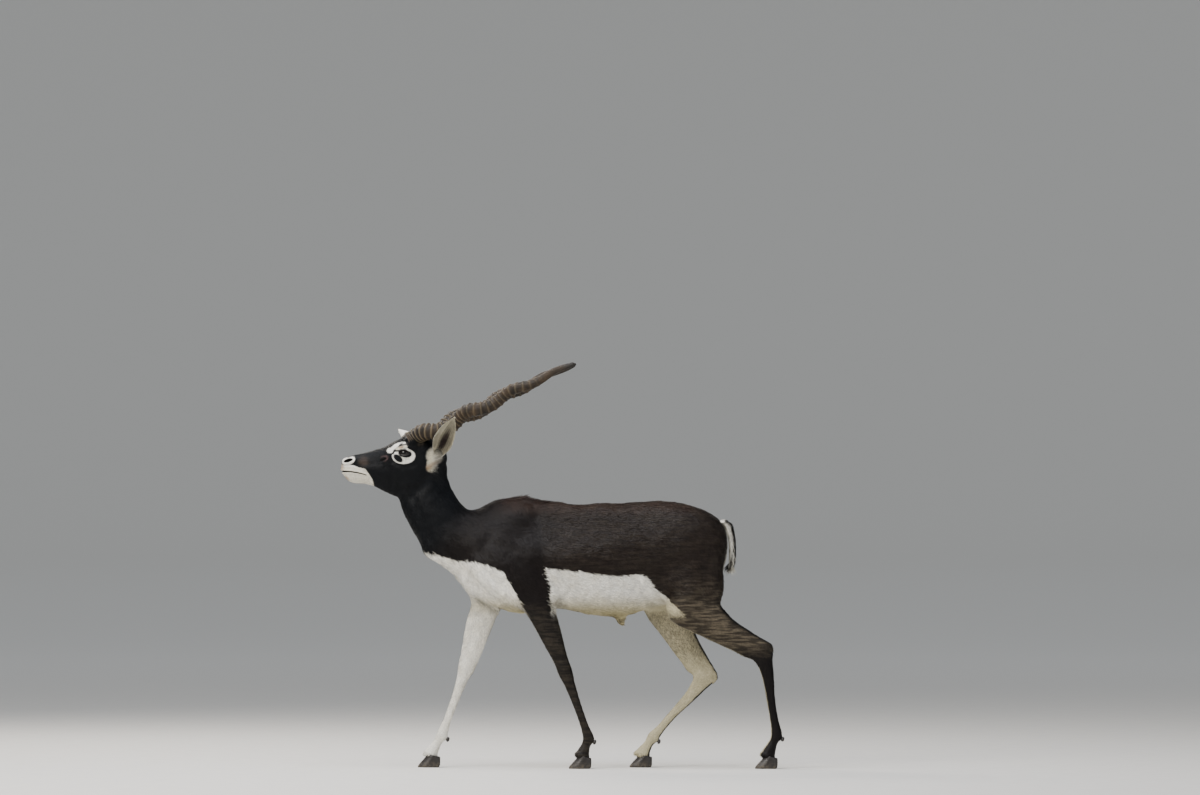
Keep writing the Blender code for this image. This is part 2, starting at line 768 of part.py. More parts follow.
def build():
    clear_scene()
    coat_dark = material("dark_coat", (0.022, 0.017, 0.016), 0.6)
    coat_white = material("white_coat", (0.72, 0.69, 0.6), 0.7)
    horn_sheath = material("horn_sheath", (0.13, 0.09, 0.06), 0.5)
    wet_eye = material("wet_eye", (0.012, 0.008, 0.006), 0.08)
    hoof_horn = material("hoof_horn", (0.03, 0.025, 0.022), 0.4)

    limbs = []
    for side, s in SIDES.items():
        limbs.append(limb("fore_limb", FORE_CHAINS[side], fore_profile(side), s))
        limbs.append(limb("hind_limb", HIND_CHAINS[side], HIND_PROFILE, s))
    pieces = [trunk_and_neck(), head_mass(), *limbs, *leg_details()]
    torso = thinned(remeshed("torso", pieces, BODY_VOXEL, 3, 36, body_softness), BODY_TRIANGLES)

    pieces = [head_mass(), trunk_and_neck(), *head_details("left"), *head_details("right")]
    head = remeshed("head", pieces, HEAD_VOXEL, 11)
    front = slab("head_side", (-306, 838), (-437, 727), -1)
    boolean(head, front, "INTERSECT")
    keep_largest(head)
    thinned(head, HEAD_TRIANGLES)
    boolean(head, front, "INTERSECT")
    wide = grown(front, GAP * 1.8)
    boolean(torso, wide, "DIFFERENCE")
    keep_largest(torso)
    for extra in (wide, front):
        bpy.data.objects.remove(extra)

    nodes = {"torso": torso, "head": head}
    for name, (side, outline) in LEG_BLOCKS.items():
        nodes[name] = part_off(torso, name, leg_block(side, outline))
    nodes["neck"] = part_off(torso, "neck", slab("neck_side", (-236, 712), (-350, 556), -1))

    cutters = [mouth_cutter()]
    for side, s in SIDES.items():
        nodes["eye_" + side] = ellipsoid("eye_" + side, (EYE[0], EYE[1] * s, EYE[2]), (EYE_RADIUS,) * 3, segments=16)
        socket = ellipsoid("socket", (EYE[0], EYE[1] * s, EYE[2]), (EYE_RADIUS + GAP,) * 3, segments=16)
        cutters += [socket, eye_cutter(side)]
        nostril = ellipsoid("nostril", (-572, 24 * s, 830), (12.5, 11, 4.2), -0.32, 0.35 * s, segments=12)
        gland = ellipsoid("gland", (-477, 38 * s, 833), (13, 9, 3.2), 0.3, 0.2 * s, segments=10)
        cutters += [nostril, gland]
    carve(head, cutters)
    keep_largest(head)

    for side in SIDES:
        nodes["horn_" + side] = horn(side)
    nodes["ear_left"] = ear("left", (-330, 49, 848), (-281, 150, 942), (-0.3, 0.75, -0.5))
    nodes["ear_right"] = ear("right", (-331, 56, 846), (-446, 146, 919), (-0.15, 0.8, -0.5))
    for name in ("horn_left", "horn_right", "ear_left", "ear_right"):
        fit_outside(nodes[name], head)

    for label, chains in (("front", FORE_CHAINS), ("hind", HIND_CHAINS)):
        for side in SIDES:
            chain = chains[side]
            below = coronet(chain, side)
            leg = nodes[f"leg_{label}_{side}"]
            wide = grown(below, GAP)
            boolean(leg, wide, "DIFFERENCE")
            keep_largest(leg)
            for which, word in ((-1, "a"), (1, "b")):
                name = f"hoof_{label}_{side}_{word}"
                nodes[name] = claw(name, chain, side, which)
                boolean(nodes[name], below, "INTERSECT")
            bpy.data.objects.remove(wide)
            bpy.data.objects.remove(below)
    nodes["tail"] = tail()
    fit_outside(nodes["tail"], torso)

    looks = {"horn": horn_sheath, "hoof": hoof_horn, "eye": wet_eye}
    for name, obj in nodes.items():
        obj.data.materials.clear()
        obj.data.materials.append(looks.get(name.split("_")[0], coat_dark))
        for vertex in obj.data.vertices:
            vertex.co.x -= CENTRE_X * MM
            vertex.co.y -= CENTRE_Y * MM
        obj.name = name
    nodes["leg_front_right"].data.materials[0] = coat_white


build()
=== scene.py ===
"""Looks of a life-size museum model of an adult male blackbuck.

The skin, coat, eyes, ears, horns and hooves are built here in the table frame of the CAD source:
millimetres, with -X ahead, +X behind, -Y the near (left) side and Z up from the floor.
"""
import math

import bmesh
import bpy
import numpy as np
from mathutils import Matrix, Vector


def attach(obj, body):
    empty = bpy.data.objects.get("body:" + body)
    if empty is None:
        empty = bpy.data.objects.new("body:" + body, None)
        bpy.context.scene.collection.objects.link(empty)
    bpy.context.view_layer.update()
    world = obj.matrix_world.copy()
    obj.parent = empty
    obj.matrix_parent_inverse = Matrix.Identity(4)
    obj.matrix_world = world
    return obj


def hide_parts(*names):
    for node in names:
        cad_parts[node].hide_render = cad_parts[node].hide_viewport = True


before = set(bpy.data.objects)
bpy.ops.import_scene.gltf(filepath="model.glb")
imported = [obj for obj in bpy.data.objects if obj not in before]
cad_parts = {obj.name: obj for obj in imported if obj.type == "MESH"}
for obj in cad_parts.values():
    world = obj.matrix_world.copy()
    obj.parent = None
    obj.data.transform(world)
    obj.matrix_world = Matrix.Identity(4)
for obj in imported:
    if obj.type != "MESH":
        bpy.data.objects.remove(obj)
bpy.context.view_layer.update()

MM = 0.001
CENTRE = np.array((4.21, -1.46, 0.0))
SIDES = {"left": -1, "right": 1}
QUICK_SHARE = 1.0

# Flesh under the coat: voxel sizes of the body, of the head and of the one skin over both.
BODY_VOXEL = 5.5
HEAD_VOXEL = 3.0
SKIN_VOXEL = 3.0

# Trunk and neck, rump to skull: top x, top z, bottom x, bottom z, half-widths high, middle, low.
TRUNK = (
    (455, 640, 452, 575, 22, 34, 26),
    (438, 668, 440, 525, 44, 60, 48),
    (402, 694, 405, 488, 60, 78, 60),
    (345, 714, 350, 458, 70, 87, 64),
    (285, 724, 288, 440, 68, 88, 62),
    (222, 724, 223, 419, 60, 86, 62),
    (155, 719, 152, 406, 60, 93, 66),
    (88, 713, 84, 414, 60, 98, 68),
    (20, 715, 14, 427, 54, 97, 64),
    (-48, 724, -55, 426, 42, 90, 56),
    (-108, 735, -125, 420, 32, 83, 48),
    (-160, 728, -190, 437, 34, 77, 43),
    (-196, 715, -252, 477, 39, 71, 41),
    (-226, 703, -285, 515, 41, 63, 41),
    (-247, 700, -327, 548, 40, 56, 41),
    (-264, 714, -363, 582, 37, 50, 39),
    (-279, 736, -395, 631, 33, 45, 35),
    (-293, 762, -418, 676, 30, 42, 33),
    (-303, 795, -433, 710, 29, 40, 32),
    (-308, 832, -436, 742, 26, 36, 28),
    (-335, 862, -425, 775, 18, 26, 20),
)

# Head, lips to poll: x, top z, bottom z, half-widths high, middle, low.
HEAD = (
    (-592, 823, 802, 8, 11, 8),
    (-586, 833, 791, 15, 18, 13),
    (-574, 841, 776, 20, 23, 17),
    (-558, 846, 768, 21, 25, 18),
    (-530, 852, 766, 18, 25, 17),
    (-502, 860, 759, 20, 28, 17),
    (-475, 868, 745, 27, 34, 19),
    (-448, 884, 733, 36, 41, 22),
    (-424, 892, 727, 42, 45, 26),
    (-397, 899, 724, 44, 46, 30),
    (-365, 898, 730, 43, 44, 32),
    (-335, 886, 748, 35, 38, 30),
    (-312, 862, 772, 22, 26, 20),
    (-304, 842, 795, 9, 11, 9),
)

# Limb profiles: bone number plus the share along it, reach forwards, reach backwards, half-width.
FORE_PROFILE = (
    (0.0, 34, 40, 12),
    (0.3, 60, 62, 18),
    (0.65, 86, 84, 24),
    (1.0, 108, 98, 30),
    (1.5, 84, 76, 31),
    (2.0, 45, 45, 28),
    (2.3, 35, 35, 24),
    (2.55, 29, 29, 20),
    (2.82, 21, 22, 17),
    (3.0, 21, 21, 19),
    (3.16, 16, 17, 15),
    (3.5, 12, 14, 11.5),
    (3.82, 12, 14, 12),
    (4.0, 16, 18, 16),
    (4.45, 13, 14, 14),
    (5.0, 20, 19, 21),
    (5.5, 20, 18, 21),
)
HIND_PROFILE = (
    (0.0, 100, 62, 38),
    (0.3, 108, 76, 43),
    (0.55, 96, 86, 44),
    (0.8, 72, 88, 41),
    (1.0, 58, 89, 35),
    (1.28, 43, 63, 28),
    (1.5, 40, 43, 24),
    (1.72, 36, 37, 19),
    (1.86, 37, 36, 17),
    (2.0, 35, 36, 17.5),
    (2.13, 20, 27, 16),
    (2.32, 13, 22, 13),
    (2.6, 12, 15, 11.5),
    (2.84, 12, 15, 12.5),
    (3.0, 16, 18, 16.5),
    (3.45, 13, 14, 14),
    (4.0, 20, 19, 21),
    (4.5, 20, 18, 21),
)

# The right foreleg reaches ahead and bears weight: its forearm is this much fuller, by bone number.
RIGHT_FOREARM = ((2.0, 1.0), (2.3, 1.12), (2.6, 1.18), (2.85, 1.3), (3.0, 1.15), (3.2, 1.0))

# Joint chains, as x, distance from the mid plane, z.
FORE_CHAINS = {
    "left": (
        (-112, 26, 690), (-150, 60, 562), (-61, 62, 454), (15, 56, 259), (76, 50, 84), (62, 50, 40),
    ),
    "right": (
        (-130, 26, 686), (-208, 60, 566), (-196, 60, 462), (-254, 56, 267), (-321, 50, 88), (-347, 50, 42),
    ),
}
HIND_CHAINS = {
    "left": ((380, 40, 612), (345, 58, 425), (545, 54, 313), (583, 50, 92), (564, 50, 46)),
    "right": ((370, 40, 612), (270, 58, 438), (393, 54, 246), (250, 50, 82), (226, 50, 42)),
}

# Each hoof's top edge falls from the toe side to the heel, by this much for each millimetre.
CORONET_SLOPE = 34 / 120
CORONET_HEIGHT = 30
HOOF_OVERLAP = 4
CLAW_LENGTH = 60
CLAW_HALF_WIDTH = 10.5
CLAW_OFFSET = 12

EYE = np.array((-418, 37.5, 850))
EYE_RADIUS = 16.5
EYE_SOCKET = 13.0
LID_RADIUS = 17.9
LID_REACH = 25
LID_THICKNESS = 2.6
LID_RIM_RADIUS = 1.25
LID_RIM_DISTANCE = 17.35
LASH_DISTANCE = 18.2
LASHES = 150
OPENING_HALF_LENGTH = 15.2
OPENING_ABOVE = 8.0
OPENING_BELOW = 6.8
OPENING_CURVE = 0.67

EAR_HALF_WIDTH = 25
EAR_THICKNESS = 3.2
EARS = {
    "left": ((-330, 49, 848), (-282, 150, 948), (-0.3, 0.75, -0.5)),
    "right": ((-331, 56, 846), (-439, 148, 916), (-0.15, 0.8, -0.5)),
}

HORN_BASE = (-409, 26, 877.5)
HORN_TIP = (41, 176, 1092.5)
HORN_BOW = 1.8
HORN_RADIUS = 19.6
HORN_TIP_RADIUS = 6.0
HORN_FOOT_SWELL = 6.0
HORN_TURNS = 3.7
HORN_COIL = 11
HORN_PHASE = {"left": 0.082, "right": 0.28}
RING_SPACING = (10.5, 18.0)
RINGED_SHARE = 0.86
RING_HEIGHT = 2.6

# Edges of the coat's markings in the side view, as x and z.
CHEST_EDGE = (
    (-363, 582), (-297, 566), (-259, 556), (-221, 555), (-183, 544), (-153, 529),
    (-134, 498), (-115, 468), (-100, 438), (-85, 415), (-70, 380),
)
SHOULDER_REAR_EDGE = ((-20, 380), (-26, 437), (-26, 475), (-32, 512), (-38, 541))
FLANK_EDGE = (
    (-38, 541), (5, 535), (62, 531), (119, 522), (157, 520), (194, 523), (221, 524),
    (240, 512), (256, 490), (286, 463), (318, 432), (350, 395), (420, 340),
)
MUZZLE_EDGE = (
    (-500, 740), (-503, 766), (-505, 775), (-512, 789), (-519, 799), (-526, 808), (-545, 812), (-556, 817),
    (-585, 822),
)


# Small helpers


def linear(code):
    """An sRGB hex colour as linear red, green, blue and alpha."""
    parts = [int(code[k : k + 2], 16) / 255 for k in (1, 3, 5)]
    return (*[c / 12.92 if c <= 0.04045 else ((c + 0.055) / 1.055) ** 2.4 for c in parts], 1.0)


def smooth(low, high, value):
    """0 at low and 1 at high, eased; low may be the larger of the two."""
    t = np.clip((value - low) / (high - low), 0, 1)
    return t * t * (3 - 2 * t)


def unit(vectors):
    return vectors / np.maximum(np.linalg.norm(vectors, axis=-1, keepdims=True), 1e-9)


def blend(first, second, share):
    """From first at share 0 to second at share 1."""
    return first * (1 - share) + second * share


def hump(value, middle, spread):
    """1 where the value is the middle one, falling off to 0 on both sides."""
    return np.exp(-(((value - middle) / spread) ** 2))


def along_surface(way, normals):
    """The directions laid flat on the surface."""
    return unit(way - normals * np.sum(way * normals, 1, keepdims=True))


def placed(points):
    """Table millimetres to metres in the row frame."""
    return (np.asarray(points, float) - CENTRE) * MM


def waves(points, size, seed):
    """A smooth random field from about -1 to 1 with lumps of the given size, in table millimetres."""
    rng = np.random.default_rng(seed)
    total = np.zeros(len(points))
    for _ in range(9):
        direction = unit(rng.normal(size=3))
        pace = 2 * math.pi / size * rng.uniform(0.6, 1.5)
        total += np.sin(points @ direction * pace + rng.uniform(0, 6.3))
    return total / 3.2


# Mesh building


def in_scene(name, data):
    """An object that holds the data, linked into the scene."""
    obj = bpy.data.objects.new(name, data)
    bpy.context.scene.collection.objects.link(obj)
    return obj


def new_object(name, vertices, faces):
    mesh = bpy.data.meshes.new(name)
    mesh.from_pydata([tuple(v) for v in vertices], [], [tuple(f) for f in faces])
    mesh.update()
    return in_scene(name, mesh)


def array_object(name, vertices, triangles):
    """An object from large arrays of points in metres and of triangle corners."""
    mesh = bpy.data.meshes.new(name)
    mesh.vertices.add(len(vertices))
    mesh.vertices.foreach_set("co", np.asarray(vertices, np.float32).ravel())
    mesh.loops.add(triangles.size)
    mesh.loops.foreach_set("vertex_index", np.asarray(triangles, np.int32).ravel())
    mesh.polygons.add(len(triangles))
    mesh.polygons.foreach_set("loop_start", np.arange(0, triangles.size, 3, dtype=np.int32))
    mesh.update(calc_edges=True)
    return in_scene(name, mesh)


def shade_smooth(obj):
    obj.data.polygons.foreach_set("use_smooth", np.ones(len(obj.data.polygons), bool))
    obj.data.update()


def set_values(obj, name, values):
    """A float for each vertex, for the materials to read."""
    found = obj.data.attributes.get(name) or obj.data.attributes.new(name, "FLOAT", "POINT")
    found.data.foreach_set("value", np.asarray(values, np.float32))


def set_vectors(obj, name, values):
    found = obj.data.attributes.new(name, "FLOAT_VECTOR", "POINT")
    found.data.foreach_set("vector", np.asarray(values, np.float32).ravel())


def table_points(obj):
    """The vertices of obj as table millimetres."""
    co = np.empty(len(obj.data.vertices) * 3, np.float32)
    obj.data.vertices.foreach_get("co", co)
    return co.reshape(-1, 3).astype(float) / MM + CENTRE


def move_points(obj, points):
    obj.data.vertices.foreach_set("co", placed(points).astype(np.float32).ravel())
    obj.data.update()


def vertex_normals(obj):
    normals = np.empty(len(obj.data.vertices) * 3, np.float32)
    obj.data.vertex_normals.foreach_get("vector", normals)
    return normals.reshape(-1, 3).astype(float)


def side_point(p, side):
    """A point given for either side, put on the named one."""
    return np.array((p[0], p[1] * SIDES[side], p[2]), float)


def curve_through(rows, per_span):
    """Rows of numbers on a Catmull-Rom curve through the given rows."""
    rows = np.asarray(rows, float)
    padded = np.vstack([2 * rows[0] - rows[1], rows, 2 * rows[-1] - rows[-2]])
    out = []
    for i in range(1, len(padded) - 2):
        before, start, end, after = padded[i - 1 : i + 3]
        for step in range(per_span):
            t = step / per_span
            squared = (2 * before - 5 * start + 4 * end - after) * t * t
            cubed = (3 * start - before - 3 * end + after) * t**3
            out.append(0.5 * (2 * start + (end - before) * t + squared + cubed))
    out.append(rows[-1])
    return np.array(out)


def section(front, back, side, widths, points=28):
    """One closed ring from front to back and round. Widths are at 0.8, 0.5 and 0.2 of the way up."""
    high, middle, low = widths
    centre = (front + back) / 2
    reach = (front - back) / 2
    ring = []
    for k in range(points):
        angle = 2 * math.pi * k / points
        up = math.cos(angle)
        share = min(1, abs(up) / 0.7)
        blend = share * share * (3 - 2 * share)
        width = middle + ((high if up > 0 else low) / 0.8 - middle) * blend
        ring.append(centre + reach * up + side * width * math.sin(angle))
    return ring


def loft(name, rings):
    """A closed skin over rings of equal count, capped by fans."""
    count = len(rings[0])
    vertices = [p for ring in rings for p in ring]
    faces = []
    for r in range(len(rings) - 1):
        for k in range(count):
            a, b = r * count + k, r * count + (k + 1) % count
            faces.append((a, b, b + count, a + count))
    for r in (0, len(rings) - 1):
        vertices.append(np.mean(rings[r], axis=0))
        hub = len(vertices) - 1
        for k in range(count):
            a, b = r * count + k, r * count + (k + 1) % count
            faces.append((a, b, hub) if r else (b, a, hub))
    obj = new_object(name, placed(vertices), faces)
    face_outwards(obj)
    return obj


def face_outwards(obj):
    work = bmesh.new()
    work.from_mesh(obj.data)
    bmesh.ops.recalc_face_normals(work, faces=work.faces)
    if work.calc_volume(signed=True) < 0:
        bmesh.ops.reverse_faces(work, faces=work.faces)
    work.to_mesh(obj.data)
    work.free()


def closed_tube(name, path, radius, sides=10):
    """A round tube along a closed path of table points."""
    path = np.asarray(path, float)
    ahead = unit(np.roll(path, -1, 0) - np.roll(path, 1, 0))
    first = unit(np.cross(ahead, (0.13, 0.21, 0.97)))
    second = np.cross(ahead, first)
    vertices = []
    faces = []
    for i, centre in enumerate(path):
        j = (i + 1) % len(path)
        for k in range(sides):
            angle = 2 * math.pi * k / sides
            vertices.append(centre + radius * (first[i] * math.cos(angle) + second[i] * math.sin(angle)))
            m = (k + 1) % sides
            faces.append((i * sides + k, i * sides + m, j * sides + m, j * sides + k))
    obj = new_object(name, placed(vertices), faces)
    face_outwards(obj)
    return obj


def ellipsoid(name, centre, radii, pitch=0.0, yaw=0.0, segments=20):
    """Centre and radii in table millimetres; pitch lifts the -X end, yaw turns it about Z."""
    mesh = bpy.data.meshes.new(name)
    work = bmesh.new()
    bmesh.ops.create_uvsphere(work, u_segments=segments, v_segments=segments // 2, radius=1)
    turn = Matrix.Rotation(yaw, 4, "Z") @ Matrix.Rotation(pitch, 4, "Y")
    shape = turn @ Matrix.Diagonal((*[r * MM for r in radii], 1))
    bmesh.ops.transform(work, matrix=shape, verts=work.verts)
    bmesh.ops.translate(work, vec=placed(centre), verts=work.verts)
    work.to_mesh(mesh)
    work.free()
    return in_scene(name, mesh)


def joined(name, objects):
    """One object from several, which are removed."""
    work = bmesh.new()
    for obj in objects:
        work.from_mesh(obj.data)
        old = obj.data
        bpy.data.objects.remove(obj)
        bpy.data.meshes.remove(old)
    mesh = bpy.data.meshes.new(name)
    work.to_mesh(mesh)
    work.free()
    return in_scene(name, mesh)


def apply_modifiers(obj):
    graph = bpy.context.evaluated_depsgraph_get()
    graph.update()
    mesh = bpy.data.meshes.new_from_object(obj.evaluated_get(graph))
    obj.modifiers.clear()
    old = obj.data
    obj.data = mesh
    bpy.data.meshes.remove(old)


def smoothed(obj, iterations, weights=None):
    step = obj.modifiers.new("smooth", "SMOOTH")
    step.factor = 0.5
    step.iterations = iterations
    if weights is not None:
        group = obj.vertex_groups.new(name="soft")
        levels = np.round(np.clip(weights, 0, 1), 2)
        for level in np.unique(levels):
            if level > 0:
                group.add(np.flatnonzero(levels == level).tolist(), float(level), "REPLACE")
        step.vertex_group = group.name
    apply_modifiers(obj)
    obj.vertex_groups.clear()


def remeshed(name, pieces, voxel):
    obj = joined(name, pieces)
    step = obj.modifiers.new("skin", "REMESH")
    step.mode = "VOXEL"
    step.voxel_size = voxel * MM
    apply_modifiers(obj)
    return obj


def sliced(obj, high_end, low_end, keep):
    """Cuts obj by the plane that holds a line of the side view. keep -1 leaves the part towards -X."""
    (hx, hz), (lx, lz) = high_end, low_end
    run = np.array((hx - lx, hz - lz), float)
    away = np.array((run[1], 0, -run[0])) / np.linalg.norm(run)
    if away[0] * keep > 0:
        away = -away
    work = bmesh.new()
    work.from_mesh(obj.data)
    everything = [*work.verts, *work.edges, *work.faces]
    cut = bmesh.ops.bisect_plane(
        work, geom=everything, plane_co=placed((hx, 0, hz)), plane_no=away, clear_outer=True
    )
    edges = [g for g in cut["geom_cut"] if isinstance(g, bmesh.types.BMEdge)]
    bmesh.ops.holes_fill(work, edges=edges, sides=0)
    bmesh.ops.recalc_face_normals(work, faces=work.faces)
    work.to_mesh(obj.data)
    work.free()
    return obj


# Flesh


def side_loft(name, rows):
    """A closed mass on the mid plane from rows of top x and z, bottom x and z, and three half-widths."""
    rings = []
    for row in curve_through(rows, 4):
        top = np.array((row[0], 0, row[1]))
        bottom = np.array((row[2], 0, row[3]))
        rings.append(section(top, bottom, np.array((0, 1.0, 0)), row[4:7]))
    return loft(name, rings)


def trunk_and_neck():
    return side_loft("trunk_loft", TRUNK)


def head_mass():
    return side_loft("head_loft", [(x, top, x, bottom, *widths) for x, top, bottom, *widths in HEAD])


def chain_frame(chain, u):
    """Centre and run direction at bone number u of a joint chain, turned smoothly through each joint."""
    last = len(chain) - 2
    bone = min(int(u), last)
    share = u - bone
    centre = chain[bone] + (chain[bone + 1] - chain[bone]) * share
    run = unit(chain[bone + 1] - chain[bone])
    if share < 0.25 and bone > 0:
        weight = 0.5 + 2 * share
        run = run * weight + unit(chain[bone] - chain[bone - 1]) * (1 - weight)
    elif share > 0.75 and bone < last:
        weight = 0.5 + 2 * (1 - share)
        run = run * weight + unit(chain[bone + 2] - chain[bone + 1]) * (1 - weight)
    return centre, unit(run)


def front_of(run):
    """Square to a leg bone in the side view: ahead, or down where the bone lies nearly level."""
    front = unit(np.cross(run, (0, -1.0, 0)))
    if front[0] > 0:
        front = -front
    if abs(run[0]) > abs(run[2]) and front[2] > 0:
        front = -front
    return front


def coronet_cut(x, height):
    """Two points on the sloping line round the top of a hoof whose middle is at x."""
    return [(x + reach, height - reach * CORONET_SLOPE) for reach in (-60, 60)]


def limb(name, chain, profile, side):
    """One leg from its top in the trunk down to the hoof, cut along the top of the hoof."""
    chain = np.array([side_point(joint, side) for joint in chain])
    rows = []
    for u, forwards, backwards, half_width in profile:
        centre, run = chain_frame(chain, u)
        ahead = front_of(run)
        rows.append((*(centre + ahead * forwards), *(centre - ahead * backwards), half_width))
    rings = []
    for row in curve_through(rows, 3):
        widths = (row[6] * 0.8, row[6], row[6] * 0.8)
        rings.append(section(row[0:3], row[3:6], np.array((0, 1.0, 0)), widths, 20))
    return sliced(loft(name, rings), *coronet_cut(chain[-1][0], CORONET_HEIGHT), 1)


def fore_profile(side):
    """The profile of one foreleg."""
    if side == "left":
        return FORE_PROFILE
    known, fuller = zip(*RIGHT_FOREARM)
    swell = [float(np.interp(row[0], known, fuller)) for row in FORE_PROFILE]
    return [(row[0], row[1] * g, row[2] * g, row[3]) for row, g in zip(FORE_PROFILE, swell)]


def head_details(side):
    """Masses of one side of the head that the loft doesn't carry."""
    s = SIDES[side]
    return [
        ellipsoid("orbit", (EYE[0], EYE[1] * s, EYE[2]), (EYE_RADIUS + LID_THICKNESS + 1,) * 3),
        ellipsoid("brow", (-408, 35 * s, 868), (30, 14, 9), pitch=-0.3, yaw=0.12 * s),
        ellipsoid("cheek", (-400, 25 * s, 786), (46, 17, 32), pitch=0.35),
        ellipsoid("zygoma", (-440, 31 * s, 829), (46, 11, 9), pitch=0.2, yaw=0.25 * s),
        ellipsoid("nostril_wing", (-573, 13 * s, 827), (18, 12, 13), pitch=0.3),
        ellipsoid("upper_lip", (-556, 13 * s, 806), (32, 12, 9), pitch=0.15),
        ellipsoid("horn_pedicle", (-392, 25 * s, 884), (30, 22, 15), pitch=0.2),
        ellipsoid("ear_root", (-335, 27 * s, 843), (24, 20, 28), pitch=0.3),
    ]


def leg_details():
    """Dewclaws behind each fetlock, the points of the elbows, and the sheath under the belly."""
    made = []
    for side, s in SIDES.items():
        for chain in (FORE_CHAINS[side], HIND_CHAINS[side]):
            x, y, z = chain[-2]
            for across in (-8, 8):
                made.append(ellipsoid("dewclaw", (x + 14, (y + across) * s, z - 9), (6.5, 5.5, 8)))
        elbow = FORE_CHAINS[side][2]
        made.append(ellipsoid("elbow_point", (elbow[0] + 34, elbow[1] * s, elbow[2] + 12), (20, 15, 24)))
    made.append(ellipsoid("sheath", (160, 0, 401), (14, 9, 21), pitch=-0.2))
    made.append(ellipsoid("scrotum", (322, 0, 452), (22, 24, 30)))
    return made


def flesh():
    """The body and the finer head as one closed surface, still without the inset for the coat."""
    pieces = [trunk_and_neck(), head_mass(), *leg_details()]
    for side in SIDES:
        pieces.append(limb("fore_limb", FORE_CHAINS[side], fore_profile(side), side))
        pieces.append(limb("hind_limb", HIND_CHAINS[side], HIND_PROFILE, side))
    body = remeshed("body", pieces, BODY_VOXEL)
    smoothed(body, 3)
    points = table_points(body)
    smoothed(body, 36, np.where(points[:, 0] > -330, (points[:, 2] - 385) / 60, 0.4))
    sliced(body, (-318, 838), (-449, 727), 1)
    pieces = [head_mass(), trunk_and_neck(), *head_details("left"), *head_details("right")]
    head = remeshed("head", pieces, HEAD_VOXEL)
    smoothed(head, 11)
    sliced(head, (-298, 838), (-429, 727), -1)
    skin = remeshed("skin", [body, head], SKIN_VOXEL)
    smoothed(skin, 5)
    return skin


# Places on the animal


def legs_near(points):
    """For each point: its distance from the nearest leg bone, and that bone's run, front and middle y.

    With them come whether the leg is a hind one and the height over its hoof.
    """
    best = np.full(len(points), 1e9)
    run = np.zeros((len(points), 3))
    ahead = np.zeros((len(points), 3))
    hind = np.zeros(len(points))
    middle = np.zeros(len(points))
    over_hoof = np.full(len(points), 1e3)
    for chains, first in ((FORE_CHAINS, 2), (HIND_CHAINS, 1)):
        for side in SIDES:
            chain = np.array([side_point(joint, side) for joint in chains[side]])
            for bone in range(first, len(chain) - 1):
                a, b = chain[bone], chain[bone + 1]
                share = ((points - a) @ (b - a)) / ((b - a) @ (b - a))
                # The forearm's line runs on up into the shoulder, and the last bone's into the hoof.
                start = -0.4 if bone == 2 and first == 2 else 0
                end = 1 if bone < len(chain) - 2 else 1.6
                nearest = a + np.clip(share, start, end)[:, None] * (b - a)
                away = np.linalg.norm(points - nearest, axis=1)
                take = away < best
                best[take] = away[take]
                run[take] = unit(b - a)
                ahead[take] = front_of(unit(b - a))
                hind[take] = first == 1
                middle[take] = nearest[take, 1]
                fall = (points[:, 0] - chain[-1][0]) * CORONET_SLOPE
                over_hoof[take] = (points[:, 2] - CORONET_HEIGHT + fall)[take]
    return {
        "distance": best,
        "run": run,
        "ahead": ahead,
        "hind": hind,
        "middle": middle,
        "over_hoof": over_hoof,
    }


def leg_share(points, legs):
    """1 on the free legs, 0 on the trunk."""
    top = np.where(legs["hind"] > 0, 500, 470)
    return smooth(0, 1, (top - points[:, 2]) / 75) * smooth(78, 52, legs["distance"])


def head_share(points):
    """1 ahead of the throat, 0 on the neck."""
    return smooth(14, -14, (points[:, 0] + 306) * 0.65 - (points[:, 2] - 838) * 0.76)


def neck_share(points):
    """1 up the neck, 0 behind the line where it meets the trunk."""
    return smooth(45, -45, (points[:, 0] + 236) * 0.81 - (points[:, 2] - 712) * 0.59)


def muzzle_share(points):
    return smooth(-470, -560, points[:, 0])


# The coat over the skin, and its tufts, in millimetres.
COAT_DEPTH = {"trunk": 3.2, "neck": 2.6, "leg": 1.2, "foot": 1.2, "head": 1.3, "muzzle": 0.8}
TUFT_LENGTH = {"trunk": 14.0, "neck": 12.0, "leg": 9.5, "foot": 5.0, "head": 6.5, "muzzle": 3.5}
TUFT_WIDTH = {"trunk": 1.7, "neck": 1.7, "leg": 1.25, "foot": 0.85, "head": 1.0, "muzzle": 0.65}


def by_region(values, points, legs):
    """The value of each point, blended from those of the regions round it."""
    body = blend(values["trunk"], values["neck"], neck_share(points))
    leg = blend(values["leg"], values["foot"], smooth(330, 60, points[:, 2]))
    head = blend(values["head"], values["muzzle"], muzzle_share(points))
    return blend(blend(body, leg, leg_share(points, legs)), head, head_share(points))


